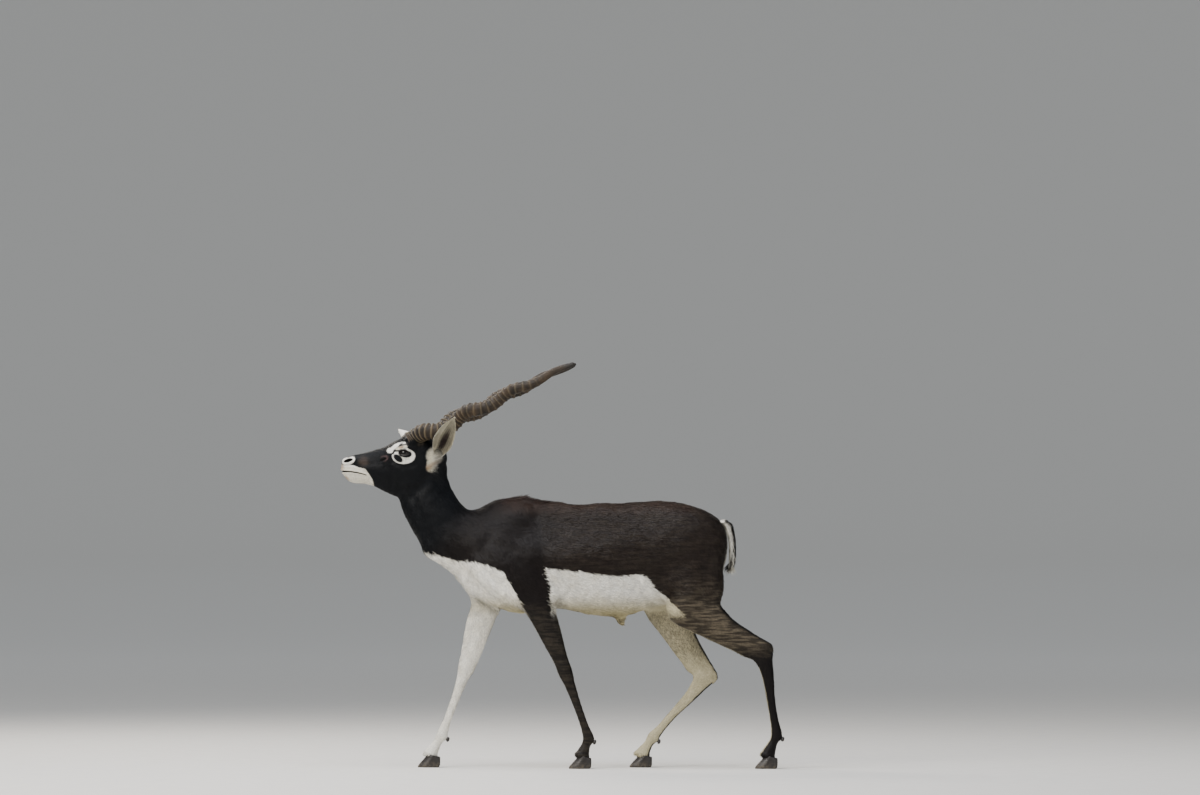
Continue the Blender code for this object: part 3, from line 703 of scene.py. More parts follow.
def lie_of_coat(points, normals, legs):
    """The direction each hair points in, lying on the surface."""
    x, z = points[:, 0], points[:, 2]
    rump = smooth(300, 440, x)
    shoulder = smooth(40, -120, x) * smooth(-330, -230, x)
    trunk = np.stack([1 - 0.6 * rump - 0.35 * shoulder, 0 * x, -0.22 - 1.0 * rump - 0.55 * shoulder], 1)
    trunk[:, 2] *= smooth(420, 520, z)
    neck = np.array((0.56, 0, -0.83))
    slope = (-0.25 + 0.55 * smooth(770, 850, z)) * smooth(4, 16, mouth_distance(points))
    head = np.stack([1 + 0 * x, 0 * x, slope - 0.22 * smooth(16, 4, mouth_distance(points))], 1)
    n, h, g = neck_share(points)[:, None], head_share(points)[:, None], leg_share(points, legs)[:, None]
    way = blend(blend(blend(trunk, neck, n), head, h), legs["run"], g)
    turn = 0.22 * waves(points, 70, 5) + 0.12 * waves(points, 24, 6)
    way = along_surface(way, normals)
    return unit(way + np.cross(normals, way) * turn[:, None])


# Markings


# Marks of the face in the side view. Strips are a start, an end and a half-width, ovals a middle, two
# half-lengths and a turn.
BROW_BLOB = (-458.6, 857, 8.4, 7.6)
BROW_BAND = (
    ((-456, 858), (-450.6, 863.5), 4.8),
    ((-450.6, 863.5), (-442.8, 870), 5.0),
    ((-442.8, 870), (-435, 874.4), 4.5),
    ((-435, 874.4), (-425.6, 877.4), 3.6),
    ((-425.6, 877.4), (-418.5, 878), 2.6),
)
UNDER_BROW = ((-440, 862), (-416, 867.5), 4.4)
EYE_RING = (-421.5, 842.4, 31, 20.9)
EYE_DARK = (-417.5, 848.5, 18.5, 10, -0.13)
EYE_FRONT_CORNER = (-436.4, 836.4, 14.8, 8.4, -0.66)
# A dark line from under the brow blob along the top of the eye: painted shadow of the brow and upper lid.
EYE_CREASE_SHADOW = (
    ((-460, 848.8), (-449.5, 848.4), 1.6),
    ((-449.5, 849), (-446.5, 855.5), 2.0),
    ((-446.7, 855.9), (-433.4, 856.4), 2.5),
    ((-433.4, 856.4), (-424, 858.6), 2.5),
    ((-424, 858.6), (-414, 860), 1.8),
)
NOSTRIL_SLIT = (-571, 830.5, 12.5, 4.9, 0.3)
NOSTRIL_RIM = (-571, 830.5, 18.5, 11.5, 0.3)
GLAND_GROOVE = (-476, 833, 9.5, 2.8, 0.5)
GLAND_SLIT = (-476, 833, 9.5, 2.6, 0.5)
GLAND_RIM = (-476.5, 834, 12.5, 7.5, 0.5)
EAR_FOOT = (-338, 843, 22, 24)
EAR_FOOT_STREAK = ((-341, 838), (-346, 812), 14)
LIP_TANS = ((1.7, (-590, 813, 10, 13)), (1.6, (-577, 781, 14, 9, -0.6)))
BROW_TAN = (-428, 866.5, 9, 5, 0.2)
NOSE_PATCH = (-530, 828, 14, 14)
HORN_FOOT_PATCH = (-379, 873, 12, 7)

# The lips meet on this line of the side view, as x and z; ahead of it the line runs level round the front.
MOUTH_LINE = ((-600, 801.2), (-585, 800.8), (-561, 799.7), (-545, 797), (-529.5, 793.3), (-523, 791))


def height_of(line, at):
    """The height of a line of (x, z) points at each x."""
    return np.interp(at, *np.array(sorted(line), float).T)


def place_of(line, height):
    """The x of a line of (x, z) points at each height."""
    return height_of([(z, x) for x, z in line], height)


def line_distance(points, line):
    """Distance in the side view from a line of (x, z) points, in millimetres."""
    best = np.full(len(points), 1e9)
    flat = points[:, [0, 2]]
    line = np.array(line, float)
    for a, b in zip(line[:-1], line[1:]):
        share = np.clip((flat - a) @ (b - a) / ((b - a) @ (b - a)), 0, 1)
        best = np.minimum(best, np.linalg.norm(flat - (a + share[:, None] * (b - a)), axis=1))
    return best


def oval(points, x, z, long, short, turn=0.0):
    """Distance from an oval in the side view, as a share of its radii: under 1 inside it."""
    dx, dz = points[:, 0] - x, points[:, 2] - z
    a = dx * math.cos(turn) + dz * math.sin(turn)
    b = -dx * math.sin(turn) + dz * math.cos(turn)
    return np.sqrt((a / long) ** 2 + (b / short) ** 2)


def strips(points, rows, outer, inner):
    """1 along strips, easing to 0 from the inner to the outer share of their half-widths."""
    return np.maximum.reduce([
        smooth(outer, inner, line_distance(points, (start, end)) / half_width)
        for start, end, half_width in rows
    ])


def mouth_distance(points):
    """Distance of each point from the line where the lips meet, in millimetres."""
    return line_distance(points, MOUTH_LINE)


def mouth_gap(points):
    """The same distance, drawn larger towards the corners, where the lips close tighter."""
    return mouth_distance(points) / np.interp(points[:, 0], (-590, -523), (1.0, 0.5))


def outwardness(normals, y):
    """How far each normal points away from the mid plane."""
    return normals[:, 1] * np.where(y < 0, -1.0, 1.0)


def body_white(points, normals, legs, leg):
    """The white of chest, belly, flanks, inner legs and rump."""
    x, y, z = points.T
    outward = outwardness(normals, y)
    # On the far side the marks of the shoulder follow the far foreleg, which stands ahead.
    shift = np.interp(z, (415, 454, 562, 690), (-135, -126, -58, -18))
    shift = shift * smooth(-360, -250, x) * smooth(60, -60, x)
    mx = np.where(y > 0, x - shift, x)
    ragged = 1.5 * waves(points, 26, 11) + 0.8 * waves(points, 9, 12)
    chest = smooth(2, -2, z - height_of(CHEST_EDGE, mx) + ragged)
    behind_shoulder = smooth(-2, 2, mx - place_of(SHOULDER_REAR_EDGE, z) + ragged)
    flank = smooth(2, -2, z - height_of(FLANK_EDGE, mx) + ragged) * behind_shoulder
    white = np.where(mx < -60, np.maximum(chest, flank), flank)
    under = smooth(0.25, -0.05, outward) * smooth(505, 475, z) * smooth(0.75, 0.4, normals[:, 0])
    white = np.maximum(white, under * smooth(455, 435, x))

    facing = np.sum(normals * legs["ahead"], 1)
    inner_fore = smooth(-0.08, 0.16, -outward)
    # Less white up the inside of the hind legs: partly grey-tan hair, partly painted shade inside the thighs.
    inner_hind = smooth(-0.1, 0.25, -outward + 0.72 * facing - 0.12) * (1 - 0.42 * smooth(250, 330, z))
    inner_hind = np.maximum(inner_hind, flank * smooth(398, 425, z))
    white = blend(white, np.where(legs["hind"] > 0, inner_hind, inner_fore), leg)
    white = white * (1 - 0.3 * (np.hypot(x - 160, y) < 24) * smooth(407, 401, z))
    rump = smooth(418, 440, x) * smooth(24 + 0.1 * (640 - z), 14, np.abs(y)) * smooth(430, 470, z)
    return np.maximum(white, rump * smooth(655, 640, z))


def face_marks(points, beside):
    """The pale, tan and hairless marks of the head, each from 0 to 1."""
    x, y, z = points.T
    off_middle = smooth(13, 19, np.abs(y))
    lips = smooth(1.5, -1.5, x - place_of(MUZZLE_EDGE, z)) * smooth(824, 816, z)
    leather = smooth(1.2, -1.2, np.abs(y) - np.clip(0.55 * (z - 806), 0, 8.5)) * smooth(805, 808, z)
    leather = leather * smooth(-572, -580, x) * smooth(836, 831, z)
    nostril = smooth(1.05, 0.95, oval(points, *NOSTRIL_RIM)) * beside
    brow = np.maximum(smooth(1.1, 0.9, oval(points, *BROW_BLOB)), strips(points, BROW_BAND, 1.15, 0.85))
    under_brow = strips(points, (UNDER_BROW,), 1.2, 0.6) * off_middle
    ring = smooth(1.06, 0.95, oval(points, *EYE_RING))
    ring = ring * (1 - smooth(-414, -424, x) * smooth(853, 860, z))
    ring = ring * (1 - smooth(1.15, 0.85, oval(points, *EYE_FRONT_CORNER)))
    eye_dark = smooth(1.08, 0.92, oval(points, *EYE_DARK))
    # The crease line darkens the skin over the eye as painted shadow.
    eye_dark = np.maximum(eye_dark, strips(points, EYE_CREASE_SHADOW, 1.3, 0.7))
    ring = ring * (1 - eye_dark)
    brow = np.maximum(brow * off_middle, 0.85 * under_brow) * (1 - eye_dark)
    below_ear = smooth(1.15, 0.8, oval(points, *EAR_FOOT))
    below_ear = np.maximum(below_ear, strips(points, (EAR_FOOT_STREAK,), 1.2, 0.8))
    below_ear = below_ear * (0.5 + 0.5 * smooth(-328, -352, x)) * (0.55 + 0.45 * smooth(868, 846, z))
    lip_tan = np.maximum.reduce([smooth(reach, 0.3, oval(points, *place)) for reach, place in LIP_TANS])
    brow_tan = under_brow * smooth(1.5, 0.4, oval(points, *BROW_TAN))
    ear_tan = (below_ear > 0.1) * smooth(848, 818, z - 0.4 * (x + 338))
    gland_rim = hump(oval(points, *GLAND_RIM), 0.95, 0.3)
    return {
        "white": np.maximum.reduce([lips, nostril, brow, ring, 0.9 * below_ear]) * (1 - leather),
        "tan": np.maximum.reduce([0.9 * brow_tan, 0.85 * ear_tan, 0.8 * lip_tan]),
        "cream": 0.3 * (z < 812) + 0.5 * under_brow + 0.6 * below_ear,
        "nose_patch": smooth(1.5, 0.3, oval(points, *NOSE_PATCH)) * beside,
        "gland_rim": gland_rim * smooth(-486, -474, x + 0.9 * (z - 834)),
        "slits": np.maximum.reduce([
            smooth(1.08, 0.9, oval(points, *NOSTRIL_SLIT)) * beside,
            smooth(1.05, 0.85, oval(points, *GLAND_SLIT)),
            smooth(2.6, 1.6, mouth_gap(points)),
            leather,
        ]),
    }


def markings(points, normals, legs):
    """The share of white, warm, grizzled, buff and bare at each point, the same for skin and coat."""
    x, y, z = points.T
    outward = outwardness(normals, y)
    leg, h = leg_share(points, legs), head_share(points)
    hind = legs["hind"] > 0
    face = face_marks(points, smooth(0.2, 0.5, outward))
    white = blend(body_white(points, normals, legs, leg), face["white"], h)

    # The brown along the top of the back is partly the hair's reddish tinge and partly painted sheen.
    warm = 0.35 * (1 - neck_share(points)) + 0.55 * smooth(672, 716, z) * smooth(-190, -120, x)
    warm = warm + 0.1 * smooth(-70, 30, x) * smooth(716, 672, z)
    warm = blend(blend(warm, np.where(hind, 0.3, 0.2), leg), face["tan"], h)
    facing = np.sum(normals * legs["ahead"], 1)
    grizzle = np.maximum.reduce([
        leg * hind * smooth(0.2, 0.7, outward) * smooth(290, 340, z) * smooth(-0.85, -0.3, facing),
        0.4 * smooth(560, 455, z) * smooth(280, 340, x) * (1 - leg),
        0.1 * smooth(-70, 30, x) * (1 - leg),
        # Grey inside the upper hind legs: partly painted shade.
        0.5 * leg * hind * smooth(0.1, -0.4, outward) * smooth(290, 340, z),
        0.3 * h * smooth(1.3, 0.5, oval(points, *HORN_FOOT_PATCH)),
        0.35 * h * face["nose_patch"],
        0.22 * leg * (1 - hind),
    ])
    # Buff low on the belly and chest, and on the hind legs: partly the hair's own cream, partly painted shade
    # under the body and inside the thighs.
    buff = 0.95 * smooth(484, 412, z) * (1 - leg) * smooth(-300, -200, x)
    buff = blend(buff + 0.1 * leg + 0.7 * leg * hind, face["cream"], h)

    mauve = 0.75 * np.maximum(face["gland_rim"], 0.5 * face["nose_patch"])
    bare = h * np.maximum(face["slits"], mauve)
    warm = warm * (1 - bare) + 0.9 * h * mauve * (1 - face["slits"])
    found = {"white": white * (1 - bare), "warm": warm, "grizzle": grizzle, "buff": buff, "bare": bare}
    return {name: np.clip(values, 0, 1) for name, values in found.items()}


# Skin


def eye_axes(side):
    """Middle of the eye and the directions along its opening, up it and out of it."""
    s = SIDES[side]
    centre = side_point(EYE, side)
    out = unit(np.array((-0.22, s, 0.08)))
    along = np.array((1.0, 0, -0.12))
    along = unit(along - out * (along @ out))
    up = np.cross(along, out) * s
    return centre, along, (up if up[2] > 0 else -up), out


def opening_measure(points, side):
    """Under 1 inside the almond between the lids, with the distance from the middle of the eye."""
    centre, along, up, out = eye_axes(side)
    offset = points - centre
    a, b, g = offset @ along, offset @ up, offset @ out
    limit = np.clip(1 - (a / OPENING_HALF_LENGTH) ** 2, 1e-4, 1) ** OPENING_CURVE
    limit = limit * np.where(b > 0, OPENING_ABOVE, OPENING_BELOW)
    measure = np.where(np.abs(a) < OPENING_HALF_LENGTH, np.abs(b) / limit, 9.0)
    measure = np.maximum(measure, np.abs(a) / OPENING_HALF_LENGTH)
    measure[g < 0] = 9.0
    return measure, np.linalg.norm(offset, axis=1), b


# Folds and hollows of the flesh: points as x, z, then half-width and depth in millimetres.
FOLDS = {
    "elbow": (((-30, 470), (-22, 440), (-24, 425)), 9, 3.0),
    "armpit": (((-22, 430), (4, 446), (18, 470)), 11, 2.5),
    "brisket": (((-233, 459), (-206, 444), (-169, 426), (-144, 421)), 6, 3.5),
    "chest_upper": (((-250, 505), (-219, 485), (-174, 470), (-133, 448), (-101, 425)), 7, 3.5),
    "chest_lower": (((-226, 470), (-190, 456), (-150, 438), (-118, 424)), 5, 2.5),
    "chest_side": (((-196, 532), (-182, 508), (-160, 488)), 8, 2.5),
    "shoulder_front": (((-182, 640), (-212, 590), (-196, 540), (-165, 505)), 16, 3.0),
    "shoulder_rear": (((-66, 680), (-52, 620), (-48, 560), (-52, 520)), 20, 3.5),
    "flank_hollow": (((200, 488), (230, 463), (258, 434)), 10, 4.0),
    "flank_ridge": (((222, 508), (255, 470), (289, 432)), 7, -2.5),
    "thigh": (((400, 560), (392, 500), (400, 450)), 18, 3.0),
    "jugular": (((-402, 735), (-380, 680), (-352, 625), (-318, 575)), 12, 2.5),
    "jaw": (((-352, 800), (-372, 762), (-400, 735)), 12, 2.5),
    "cheek_front": (((-470, 812), (-452, 790), (-452, 762)), 9, 2.0),
    "under_eye": (((-452, 826), (-425, 812), (-395, 818)), 7, 1.6),
    "lower_lip": (((-560, 792), (-540, 786), (-526, 780)), 5, 1.2),
    "nose_side": (((-555, 818), (-520, 820), (-492, 826)), 8, 1.6),
}

# Where coat and flesh fill out the outline: x and z, half-width and rise in millimetres, and whether on the
# far side only.
SWELLS = (
    (-172, 724, 34, 6.5, False),
    (-100, 733, 32, 5.5, False),
    (-8, 718, 45, 4.0, False),
    (103, 716, 36, 5.5, False),
    (-100, 424, 34, 7.0, False),
    (60, 420, 60, 3.5, False),
    (225, 419, 24, -3.0, False),
    (-362, 580, 26, 7.0, False),
    (-248, 468, 24, 8.0, False),
    (-142, 421, 22, 12.0, True),
    (-398, 873, 14, 6.0, False),
)


def fold_relief(points, normals):
    """Shift of all folds and swells at each point; folds show on flanks that face outwards."""
    total = np.zeros(len(points))
    for line, half_width, depth in FOLDS.values():
        total -= depth * hump(line_distance(points, line), 0, half_width)
    total = total * smooth(0.15, 0.6, np.abs(normals[:, 1]))
    for x, z, half_width, rise, far_only in SWELLS:
        away = np.linalg.norm(points[:, [0, 2]] - (x, z), axis=1)
        total += rise * hump(away, 0, half_width) * (smooth(20, 50, points[:, 1]) if far_only else 1)
    return total


def refined(obj, wanted):
    """Splits each face whose vertices are all wanted into four."""
    work = bmesh.new()
    work.from_mesh(obj.data)
    work.verts.ensure_lookup_table()
    edges = [e for e in work.edges if wanted[e.verts[0].index] and wanted[e.verts[1].index]]
    bmesh.ops.subdivide_edges(work, edges=edges, cuts=1, use_grid_fill=True)
    work.to_mesh(obj.data)
    work.free()
    obj.data.update()


def carve_eye(points):
    """Opens the lids over each eyeball and raises a rim and a fold round the opening."""
    for side in SIDES:
        measure, radius, rise = opening_measure(points, side)
        centre = eye_axes(side)[0]
        close = radius < LID_REACH
        target = blend(EYE_SOCKET, np.maximum(radius, LID_RADIUS), smooth(1.0, 1.1, measure))
        fold = 1.3 * hump(measure, 1.75, 0.16) * (rise > 0) + 0.8 * hump(measure, 1.65, 0.14) * (rise < 0)
        lid = 0.7 * hump(measure, 1.22, 0.2)
        target = target + np.where(measure > 1.05, lid - fold, 0)
        points[close] = (centre + unit(points - centre) * target[:, None])[close]
    return points


def head_relief(points, normals):
    """Nostrils, line of the mouth, lips and the gland before each eye, as a shift along the normal."""
    beside = smooth(0.2, 0.5, np.abs(normals[:, 1]))
    slit = oval(points, *NOSTRIL_SLIT)
    shift = (1.3 * hump(slit, 1.5, 0.4) - 6.5 * smooth(1.05, 0.55, slit)) * beside
    gap = mouth_gap(points)
    shift += hump(gap, 5, 2.6) - 3.0 * smooth(2.2, 0.3, gap)
    gland = oval(points, *GLAND_GROOVE)
    shift += 0.9 * hump(gland, 1.9, 0.5) - 3.0 * smooth(1.1, 0.4, gland)
    return shift * head_share(points)


def make_skin():
    skin = flesh()
    points = table_points(skin)
    refined(skin, (head_share(points) > 0.5) & (points[:, 2] > 700))
    points = table_points(skin)
    detail = mouth_distance(points) < 7
    for side in SIDES:
        detail |= np.linalg.norm(points - side_point(EYE, side), axis=1) < 27
    detail |= (oval(points, -571, 830, 20, 12, 0.3) < 1) | (oval(points, -477, 833, 16, 9, 0.5) < 1)
    refined(skin, (head_share(points) > 0.5) & detail)
    smoothed(skin, 4, head_share(table_points(skin)))
    points, normals = table_points(skin), vertex_normals(skin)
    legs = legs_near(points)
    uneven = 0.8 * waves(points, 90, 21) + 0.35 * waves(points, 30, 22)
    relief = fold_relief(points, normals) + head_relief(points, normals)
    relief -= by_region(COAT_DEPTH, points, legs)
    relief += uneven * (1 - head_share(points)) * (1 - leg_share(points, legs))
    relief += 3.6 * smooth(16, 3, legs["over_hoof"]) * smooth(60, 50, points[:, 2])
    move_points(skin, carve_eye(points + normals * relief[:, None]))
    shade_smooth(skin)
    return skin


MARKS = ("white", "warm", "grizzle", "buff", "bare")


def marks_of(count, **values):
    """Every mark for so many vertices: the given ones, and 0 for the rest."""
    return {name: np.full(count, values.get(name, 0.0)) for name in MARKS}


def mark(obj, marks, along, tone):
    """Writes the markings on obj. Each hair has its own tone and is darker at its root than at its tip."""
    for name, values in marks.items():
        set_values(obj, name, values)
    shade = (0.72 + 0.5 * tone) * (0.8 + 0.28 * np.minimum(1, along / 0.7))
    set_values(obj, "shade", np.full(len(obj.data.vertices), shade))


# Coat


def scattered(obj, count, weights, rng):
    """Random places on obj, with more where the weights of the vertices are higher."""
    obj.data.calc_loop_triangles()
    corners = np.empty(len(obj.data.loop_triangles) * 3, np.int32)
    obj.data.loop_triangles.foreach_get("vertices", corners)
    corners = corners.reshape(-1, 3)
    points, normals = table_points(obj), vertex_normals(obj)
    a, b, c = (points[corners[:, k]] for k in range(3))
    size = np.linalg.norm(np.cross(b - a, c - a), axis=1) / 2 * weights[corners].mean(axis=1)
    total = np.cumsum(size)
    chosen = np.searchsorted(total, rng.uniform(0, total[-1], count))
    first, second = rng.uniform(size=(2, count))
    fold = first + second > 1
    first[fold], second[fold] = 1 - first[fold], 1 - second[fold]
    shares = np.stack([1 - first - second, first, second], 1)
    picked = corners[chosen]
    at = np.einsum("ij,ijk->ik", shares, points[picked])
    out = unit(np.einsum("ij,ijk->ik", shares, normals[picked]))
    return at, out, picked, shares


# Size of one tuft's patch on the unwrap of the coat.
PATCH = 0.003


def blades(name, roots, normals, way, length, width, rise, marks, unwrap, rng):
    """Flat tapered tufts of three triangles each, with their markings and the OFBake unwrap."""
    count = len(roots)
    turn = rng.normal(0, 0.13, count)
    across = np.cross(normals, way)
    way = unit(way + across * turn[:, None])
    across = unit(np.cross(normals, way)) * np.reshape(width / 2, (-1, 1))
    length = length * rng.uniform(0.75, 1.2, count)
    lift = rise * rng.uniform(0.6, 1.3, count)
    half = (length * 0.5)[:, None]
    lower, upper = (lift * 1.3)[:, None], (lift * 0.5)[:, None]
    base = roots - normals * 0.5
    middle = base + half * (way * np.cos(lower) + normals * np.sin(lower))
    tip = middle + half * (way * np.cos(upper) + normals * np.sin(upper))
    tip += across * rng.normal(0, 0.6, count)[:, None]
    corners = np.stack([base - across * 0.8, base + across * 0.8, middle - across, middle + across, tip], 1)
    start = np.arange(count)[:, None] * 5
    pattern = np.array([(0, 3, 1), (0, 2, 3), (2, 4, 3)])
    triangles = (start[:, :, None] + pattern[None]).reshape(-1, 3)
    obj = array_object(name, placed(corners.reshape(-1, 3)), triangles)

    steep = unit(np.cross(across, tip - base))
    steep *= np.sign(np.sum(steep * normals, 1, keepdims=True))
    lean = unit(across) * rng.normal(0, 0.18, count)[:, None]
    shaded = unit(normals * 0.75 + steep * 0.35 + lean)
    shade_smooth(obj)
    obj.data.normals_split_custom_set_from_vertices(np.repeat(shaded, 5, 0).astype(np.float32))

    patch = np.array([(0, 0), (1, 0), (0.1, 0.5), (0.9, 0.5), (0.5, 1)]) * PATCH
    places = unwrap[:, None, :] * (1 - PATCH - 0.001) + patch[None]
    layer = obj.data.uv_layers.new(name="OFBake")
    layer.uv.foreach_set("vector", places.reshape(-1, 2)[triangles.ravel()].astype(np.float32).ravel())
    tone = np.clip(0.5 + 0.22 * rng.normal(size=count) + 0.15 * waves(roots, 18, 31), 0, 1)
    marks = {name: np.repeat(values, 5) for name, values in marks.items()}
    mark(obj, marks, np.tile((0, 0, 0.5, 0.5, 1.0), count), np.repeat(tone, 5))
    return obj


def turn_share(across, along):
    """The angle round an axis as a share of the full turn."""
    return (np.arctan2(across, along) / math.pi + 1) / 2


def trunk_unwrap(points):
    """Along the trunk, and from 0 under it to 1 over it."""
    angle = np.arctan2(np.abs(points[:, 1]), 570 - points[:, 2]) / math.pi
    return np.stack([(points[:, 0] + 380) / 850, angle], 1)


def neck_unwrap(points):
    u = ((points[:, 0] + 440) * 0.56 - (points[:, 2] - 860) * 0.83) / 420
    above = (points[:, 0] + 330) * 0.83 + (points[:, 2] - 690) * 0.56
    return np.stack([u, turn_share(points[:, 1], above)], 1)


def head_unwrap(points):
    return np.stack([(points[:, 0] + 600) / 310, turn_share(points[:, 1], points[:, 2] - 808)], 1)


def leg_unwrap(points, legs):
    """The fore leg fills one half of the square and the hind leg the other."""
    side = points[:, 1] - legs["middle"]
    ahead = points[:, 0] * legs["ahead"][:, 0] + points[:, 2] * legs["ahead"][:, 2]
    angle = turn_share(side, ahead % 60 - 30)
    return np.stack([(500 - points[:, 2]) / 480, legs["hind"] * 0.5 + angle * 0.49], 1)


COAT_PIECES = {
    "coat_trunk_left": 58000,
    "coat_trunk_right": 58000,
    "coat_neck": 38000,
    "coat_head": 62000,
    "coat_legs_left": 42000,
    "coat_legs_right": 42000,
}


def eye_share(points):
    """1 round the eyes, where the hair is shortest, and 0 away from them."""
    return smooth(52, 36, np.linalg.norm(points * (1, 0, 1) - EYE * (1, 0, 1), axis=1)) * head_share(points)


def horn_axis(side, share):
    """Middle of the horn at each share of its length, with the direction up across it and its length."""
    base, tip = side_point(HORN_BASE, side), side_point(HORN_TIP, side)
    length = np.linalg.norm(tip - base)
    run = unit(tip - base)
    up = unit(np.array((0, 0, 1.0)) - run * run[2])
    across = np.cross(run, up) * -SIDES[side]
    angle = 2 * math.pi * HORN_TURNS * (share - HORN_PHASE[side])
    coil = HORN_COIL * (1 - 0.82 * share) * (1 - np.exp(-share / 0.045))
    bow = (HORN_BOW * (4 * share * (1 - share) - np.sin(2 * math.pi * share)))[:, None] * up
    turn = up * np.cos(angle)[:, None] + across * np.sin(angle)[:, None]
    return base + run * (length * share)[:, None] + bow + turn * coil[:, None], up, length


def horn_clearance(points):
    """How far each point lies outside the foot of the nearer horn."""
    best = np.full(len(points), 1e3)
    share = np.linspace(0, 0.14, 12)
    for side in SIDES:
        for middle, radius in zip(horn_axis(side, share)[0], horn_radius(share)):
            best = np.minimum(best, np.linalg.norm(points - middle, axis=1) - radius)
    return best


def horn_radius(share):
    radius = HORN_RADIUS + (HORN_TIP_RADIUS - HORN_RADIUS) * share**2.2
    return radius + HORN_FOOT_SWELL * np.exp(-share / 0.082)


def tufts_at(at, out, near):
    """Way, length, width and rise of the tuft at each place, and how far it is in a horn's collar."""
    g, h, n = leg_share(at, near), head_share(at), neck_share(at)
    collar = smooth(16, 2, horn_clearance(at)) * smooth(852, 864, at[:, 2])
    collar *= 1 - markings(at, out, near)["white"]
    way = along_surface(blend(lie_of_coat(at, out, near), np.array((0.35, 0, 0.95)), collar[:, None]), out)
    length, width = by_region(TUFT_LENGTH, at, near), by_region(TUFT_WIDTH, at, near)
    crest = smooth(712, 724, at[:, 2]) * smooth(-150, -105, at[:, 0]) * smooth(40, -10, at[:, 0]) * (1 - n)
    cuff = smooth(14, 3, near["over_hoof"]) * smooth(60, 50, at[:, 2])
    length += 5 * crest + 13 * collar + 4.5 * cuff
    length *= (1 - 0.5 * h * smooth(12, 3, mouth_distance(at))) * (1 - 0.38 * eye_share(at))
    width = (width + 0.6 * collar) * (1 - 0.25 * eye_share(at))
    rise = 0.20 + 0.03 * n - 0.03 * g + 0.12 * crest + 0.1 * collar
    return way, length, width, rise, collar


def coat_beds(skin):
    """For each coat piece, how thickly its hair grows at each vertex of the skin."""
    points, normals = table_points(skin), vertex_normals(skin)
    legs = legs_near(points)
    leg, head, neck = leg_share(points, legs) >= 0.5, head_share(points) >= 0.5, neck_share(points) >= 0.5
    grown = 1 - markings(points, normals, legs)["bare"]
    for side in SIDES:
        measure, radius, _ = opening_measure(points, side)
        grown *= (measure >= 1.22) | (radius >= LID_REACH)
    grown *= smooth(-5, -2, horn_clearance(points)) * smooth(2.2, 3.2, mouth_gap(points))
    near_side = points[:, 1] < 0
    trunk = ~(head | leg | neck)
    legs_grown = grown * ~head * leg * (1 + smooth(330, 90, points[:, 2]))
    return {
        "coat_trunk_left": grown * (trunk & near_side),
        "coat_trunk_right": grown * (trunk & ~near_side),
        "coat_neck": grown * (neck & ~head & ~leg),
        "coat_head": grown * head * (1 + 1.5 * muzzle_share(points) + 1.2 * eye_share(points)),
        "coat_legs_left": legs_grown * near_side,
        "coat_legs_right": legs_grown * ~near_side,
    }


def coat_over(skin, rng):
    unwraps = {"trunk": trunk_unwrap, "neck": neck_unwrap, "head": head_unwrap}
    made = []
    for name, weights in coat_beds(skin).items():
        at, out, _, _ = scattered(skin, int(COAT_PIECES[name] * QUICK_SHARE), weights, rng)
        near = legs_near(at)
        h = head_share(at)
        way, length, width, rise, collar = tufts_at(at, out, near)
        # The marks are read where the middle of each tuft shows, a little unevenly on the body.
        shown = 0.6 * length * (1 - 0.6 * collar) + rng.normal(0, 4.0, len(at)) * (1 - 0.9 * h)
        marked = markings(at + way * shown[:, None], out, near)
        # Where dark and white meet, single tufts are the one or the other.
        mixed = marked["white"] * (1 - marked["white"]) * (1 - 0.7 * h)
        marked["white"] = np.clip(marked["white"] + 3.4 * mixed * rng.uniform(-0.5, 0.5, len(at)), 0, 1)
        part = name.split("_")[1]
        places = np.clip(unwraps[part](at) if part in unwraps else leg_unwrap(at, near), 0, 1)
        made.append(blades(name, at, out, way, length, width, rise, marked, places, rng))
    return made


# Ears


